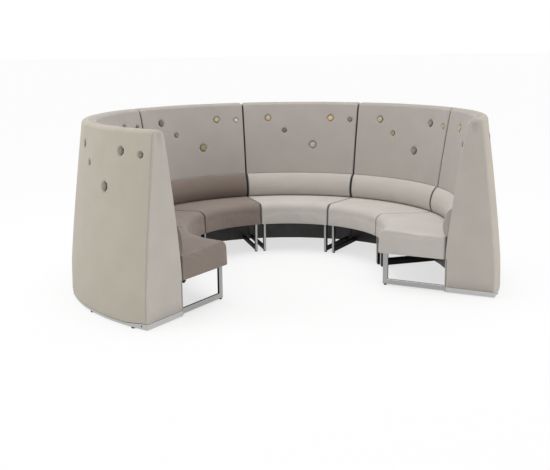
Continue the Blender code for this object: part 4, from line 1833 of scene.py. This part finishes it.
@dataclass
class BaseRail:
    """Steel rail under the back and both ends of a module, low under the curved back."""

    ring: Ring
    cover: BackCover
    reveal: float = 0.0015
    inner_end: float = 1.3513
    end_gap: float = 0.00015
    end_width: float = 0.025
    thickness: float = 0.016
    bottom: float = 0.010
    top: float = 0.0478
    edge: float = 0.0015
    stations: int = 22
    glide_radius: float = 0.015
    glide_across: tuple[float, ...] = (-0.39, 0.0, 0.39)

    @property
    def radius(self) -> float:
        """Radius of the rail's outside."""
        return float(self.cover.outer_radius(np.array(self.cover.bottom))) - self.reveal

    def section(self, outer: tuple[float, float], inner: tuple[float, float]) -> np.ndarray:
        """Return the rail's section between two places.

        Args:
            outer: Radius and distance from the end of the outer side.
            inner: Radius and distance from the end of the inner side.

        Returns:
            The section's corners, in the module's own frame.
        """
        places = np.array([inner, outer])
        angle = self.ring.from_ends(places[:, 0], places[:, 1])
        near, far = Ring.points(places[:, 0], angle, np.zeros(2))
        share = self.edge / np.linalg.norm(far - near)
        top = self.top - float(self.cover.dip_at(np.array(outer[1])))
        rows = [(share, self.bottom), (1 - share, self.bottom), (1.0, self.bottom + self.edge),
                (1.0, top - self.edge), (1 - share, top), (share, top),
                (0.0, top - self.edge), (0.0, self.bottom + self.edge)]
        return np.array([near + (far - near) * part + (0.0, 0.0, height)
                         for part, height in rows])

    def build(self, number: int) -> bpy.types.Object:
        """Run a module's rail out along one end, round the back and in again.

        Args:
            number: The module's number.

        Returns:
            The rail.
        """
        radius, deep = self.radius, self.end_gap + self.end_width
        half = [self.section((self.inner_end, self.end_gap), (self.inner_end, deep)),
                self.section((radius, self.end_gap), (radius - self.thickness, deep))]
        reach = radius * math.sin(self.ring.half_angle)
        for from_end in np.append(np.linspace(0.03, reach * 0.9, self.stations), reach * 0.96):
            half.append(self.section((radius, from_end), (radius - self.thickness, from_end)))
        right = np.array(half)
        left = right * (-1.0, 1.0, 1.0)
        points, faces = closed_loft(np.concatenate([left, right[::-1]]))
        mesh = mesh_from(f"base_rail_{number}", points, faces)
        mesh.transform(self.ring.place(number))
        mesh.shade_smooth()
        mesh.set_sharp_from_angle(angle=math.radians(30))
        mesh.materials.append(RAIL_STEEL.material())
        return new_object(f"base_rail_{number}", mesh)

    def glides(self) -> bpy.types.Object:
        """Set the black glides under all the rails.

        Returns:
            The glides, as one piece.
        """
        height = self.bottom + 0.0002
        tall = height / self.glide_radius
        shape = TurnedShape("glide_shape", ((1.0, 0.0), (1.0, tall * 0.9), (0.92, tall)),
                            sides=20).build()
        spots = []
        for number in range(1, self.ring.modules + 1):
            place = self.ring.place(number)
            for share in self.glide_across:
                angle = self.ring.module_angle * share
                point = Vector((math.sin(angle), math.cos(angle), 0.0))
                point *= self.radius - self.glide_radius
                point.z = height
                spots.append((place @ point, Vector((0.0, 0.0, -1.0)), 1.0))
        glides = SetOnPoints.run("base_glides", spots, shape, self.glide_radius, BLACK_PLASTIC)
        bpy.data.objects.remove(shape)
        return glides


@dataclass
class PlinthScrews:
    """Countersunk screws in the plinth rails, one near each end of a module."""

    ring: Ring
    rail: BaseRail
    radius: float = 0.0058
    from_end: float = math.radians(1.8)
    height: float = 0.031
    profile: tuple[tuple[float, float], ...] = (
        (0.9, -0.3), (1.0, 0.02), (0.96, 0.16), (0.7, 0.22), (0.42, 0.23), (0.36, 0.02))

    def build(self) -> bpy.types.Object:
        """Set the screws in all the rails.

        Returns:
            The screws, as one piece.
        """
        shape = TurnedShape("screw_shape", self.profile, sides=14).build()
        spots = []
        for number in range(1, self.ring.modules + 1):
            place = self.ring.place(number)
            for side in (-1, 1):
                angle = side * (self.ring.half_angle - self.from_end)
                facing = Vector((math.sin(angle), math.cos(angle), 0.0))
                point = facing * self.rail.radius
                point.z = self.height
                spots.append((place @ point, place.to_3x3() @ facing, 1.0))
        screws = SetOnPoints.run("plinth_screws", spots, shape, self.radius, BLACK_PLASTIC)
        bpy.data.objects.remove(shape)
        return screws


@dataclass
class Upholstery:
    """All soft pieces of the sofa."""

    ring: Ring
    cover: BackCover

    def cloth_of(self, number: int) -> Finish:
        """Return the cloth of a module's seat and lumbar band."""
        return TAUPE_FABRIC if number <= self.ring.modules // 2 else PALE_FABRIC

    def build(self) -> None:
        seat = SeatPad(self.ring, "seat_pad")
        lumbar = LumbarPad(self.ring, "lumbar_pad", cover=self.cover)
        seat_mesh, lumbar_mesh = seat.swollen(), lumbar.swollen()
        for number in range(1, self.ring.modules + 1):
            mesh = self.cover.skin(number)
            mesh.transform(self.ring.place(number))
            for finish in (OUTER_FABRIC, INNER_FABRIC, END_FABRIC):
                mesh.materials.append(finish.material())
            back = new_object(f"back_cover_{number}", mesh)
            slot = "taupe_fabric" if self.cloth_of(number) is TAUPE_FABRIC else "pale_fabric"
            pieces = (
                (back, f"back_shell_{number}", "outer_fabric", 1.0),
                (seat.placed(seat_mesh, number, self.cloth_of(number)),
                 f"seat_cushion_{number}", slot, 0.9),
                (lumbar.placed(lumbar_mesh, number, self.cloth_of(number)),
                 f"lumbar_band_{number}", slot, 0.9))
            for piece, node, slot_name, fill in pieces:
                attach(piece, BODY)
                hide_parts(node)
                LOG.info("%s: %d faces", piece.name, len(piece.data.polygons))


@dataclass
class Hardware:
    """Finishes of the rigid nodes, and the base rails with their glides and screws."""

    ring: Ring
    cover: BackCover

    def build(self) -> None:
        """Dress the frame's rigid nodes, and add the pieces of the base."""
        self.dress_nodes()
        self.add_base()

    def dress_nodes(self) -> None:
        """Give the leg frames, boards and feet their finishes."""
        last = self.ring.modules
        centre = tuple(self.ring.place(1).translation)
        ways = {number: self.outward(side) for number, side in ((1, -1), (last, 1))}
        tube = FrameSteel("frame_steel", TUBE_COLOUR, centre=centre)
        tubes = {"leg_frame_1_left": FrameSteel("frame_steel_left", TUBE_COLOUR,
                                                centre=centre, side=ways[1]),
                 f"leg_frame_{last}_right": FrameSteel("frame_steel_right", TUBE_COLOUR,
                                                       centre=centre, side=ways[last])}
        panels = {f"kick_panel_{number}": Laminate(f"edged_laminate_{number}",
                                                   BLACK_LAMINATE.colour, edged=way)
                  for number, way in ways.items()}
        for name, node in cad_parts.items():
            if name.startswith("leg_frame"):
                finish = tubes.get(name, tube)
            elif name.startswith(("seat_board", "kick_panel")):
                finish = panels.get(name, BLACK_LAMINATE)
            elif name.startswith("foot"):
                finish = BLACK_PLASTIC
            else:
                continue
            for slot in node.material_slots:
                slot.material = finish.material()
            LOG.info("%s: %s", name, finish.name)

    def add_base(self) -> None:
        """Add the base rails, glides and screws, and set them on the sofa's body."""
        rail = BaseRail(self.ring, self.cover)
        for number in range(1, self.ring.modules + 1):
            piece = rail.build(number)
            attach(piece, BODY)
            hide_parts(f"plinth_{number}")
            LOG.info("%s: %d faces", piece.name, len(piece.data.polygons))
        for piece in (rail.glides(), PlinthScrews(self.ring, rail).build()):
            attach(piece, BODY)
            LOG.info("%s: %d faces", piece.name, len(piece.data.polygons))

    def outward(self, side: int) -> Triple:
        """Return the direction in which the sofa's free end faces, on one side."""
        angle = self.ring.modules * self.ring.module_angle / 2
        return side * math.cos(angle), -math.sin(angle), 0.0


@dataclass(frozen=True)
class Lamp:
    """Square soft lamp."""

    name: str
    spot: Triple
    aim: Triple
    size: float
    power: float

    def hang(self) -> None:
        """Hang the lamp at its spot, shining at its aim."""
        data = bpy.data.lights.new(self.name, "AREA")
        data.size, data.energy = self.size, self.power
        lamp = new_object(self.name, data)
        lamp.location = self.spot
        way = Vector(self.aim) - Vector(self.spot)
        lamp.rotation_euler = way.to_track_quat("-Z", "Y").to_euler()


@dataclass
class Studio:
    """White floor, soft lamps and the camera that took the picture."""

    ring: Ring
    position: tuple[float, float, float] = (-1.848, -6.847, 1.838)
    yaw: float = math.radians(15.076)
    pitch: float = math.radians(11.113)
    roll: float = math.radians(-0.629)
    lens: float = 55.47
    sensor: float = 36.0
    shift: float = -0.0361
    shift_across: float = -0.0012
    floor_size: float = 400.0
    floor_colour: tuple[float, ...] = (0.9, 0.9, 0.9, 1.0)
    glow_radii: tuple[float, float] = (1.25, 2.1)
    glow_shares: tuple[float, float] = (0.68, 0.94)
    sky: tuple[float, ...] = (1.0, 0.99, 0.98, 1.0)
    sky_strength: float = 0.57
    lamps: tuple[Lamp, ...] = (
        Lamp("top", (0.0, 0.5, 6.0), (0.0, 0.0, 0.0), 5.0, 202.0),
        Lamp("left", (-6.0, -1.0, 5.0), (0.5, 0.0, 0.6), 3.0, 109.0),
        Lamp("front", (6.0, -7.0, 1.4), (-1.0, -1.0, 0.6), 3.0, 175.0))

    def build(self) -> None:
        """Make the floor, the lamps, the world and the camera."""
        self.add_camera()
        self.add_floor()
        self.add_world()
        for lamp in self.lamps:
            lamp.hang()
        bpy.context.scene.view_settings.view_transform = "Standard"

    def add_camera(self) -> None:
        """Set the camera where the photograph was taken from."""
        data = bpy.data.cameras.new("camera")
        data.lens, data.sensor_width = self.lens, self.sensor
        data.shift_x, data.shift_y = self.shift_across, self.shift
        camera = new_object("camera", data)
        forward = Vector((math.sin(self.yaw) * math.cos(self.pitch),
                          math.cos(self.yaw) * math.cos(self.pitch), -math.sin(self.pitch)))
        right = Vector((math.cos(self.yaw), -math.sin(self.yaw), 0.0))
        up = right.cross(forward)
        right, up = (right * math.cos(self.roll) + up * math.sin(self.roll),
                     up * math.cos(self.roll) - right * math.sin(self.roll))
        turn = Matrix((right, up, -forward)).transposed()
        camera.matrix_world = Matrix.Translation(self.position) @ turn.to_4x4()
        bpy.context.scene.camera = camera

    def add_floor(self) -> None:
        """Lay a white floor that keeps the sofa's shadow."""
        half = self.floor_size / 2
        mesh = bpy.data.meshes.new("floor")
        mesh.from_pydata([(-half, -half, 0), (half, -half, 0), (half, half, 0), (-half, half, 0)],
                         [], [(0, 1, 2, 3)])
        material = bpy.data.materials.new("studio_floor")
        material.use_nodes = True
        tree = material.node_tree
        shader = tree.nodes["Principled BSDF"]
        feed(tree, shader, {"Base Color": self.floor_colour, "Roughness": 0.7,
                            "Specular IOR Level": 0.2})
        place = add_node(tree, "ShaderNodeTexCoord")
        away = add_node(tree, "ShaderNodeVectorMath",
                        {0: place.outputs["Object"], 1: tuple(self.ring.place(1).translation)},
                        operation="DISTANCE")
        fade = add_node(tree, "ShaderNodeMapRange", {
            "Value": away.outputs["Value"],
            "From Min": self.glow_radii[0], "From Max": self.glow_radii[1],
            "To Min": self.glow_shares[0], "To Max": self.glow_shares[1]},
            interpolation_type="SMOOTHSTEP")
        share = calculate(tree, "MULTIPLY", self.seen(tree), fade.outputs["Result"])
        glow = add_node(tree, "ShaderNodeEmission")
        mix = add_node(tree, "ShaderNodeMixShader",
                       {0: share, 1: shader.outputs[0], 2: glow.outputs[0]})
        feed(tree, tree.nodes["Material Output"], {"Surface": mix.outputs[0]})
        floor = new_object("studio_floor", mesh)
        mesh.materials.append(material)

    def add_world(self) -> None:
        """Light the scene evenly, and show white behind it."""
        world = bpy.data.worlds.new("studio")
        bpy.context.scene.world = world
        world.use_nodes = True
        tree = world.node_tree
        soft = tree.nodes["Background"]
        feed(tree, soft, {"Color": self.sky, "Strength": self.sky_strength})
        white = add_node(tree, "ShaderNodeBackground", {"Color": (1.0, 1.0, 1.0, 1.0)})
        mix = add_node(tree, "ShaderNodeMixShader",
                       {0: self.seen(tree), 1: soft.outputs[0], 2: white.outputs[0]})
        feed(tree, tree.nodes["World Output"], {"Surface": mix.outputs[0]})

    @staticmethod
    def seen(tree: bpy.types.NodeTree) -> Socket:
        """Return the mask of the rays from the camera, straight or by a reflection."""
        ray = add_node(tree, "ShaderNodeLightPath")
        return calculate(tree, "MAXIMUM", ray.outputs["Is Camera Ray"],
                         ray.outputs["Is Glossy Ray"])


def main() -> None:
    """Build the sofa's soft pieces, dress the rest and set up the studio."""
    logging.basicConfig(level=logging.INFO, format="%(name)s %(message)s")
    ring = Ring()
    cover = BackCover(ring, ButtonPattern())
    Upholstery(ring, cover).build()
    for buttons in CoveredButtons(ring, cover).build():
        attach(buttons, BODY)
        LOG.info("%s: %d faces", buttons.name, len(buttons.data.polygons))
    Hardware(ring, cover).build()
    Studio(ring).build()


if __name__ == "__main__":
    main()
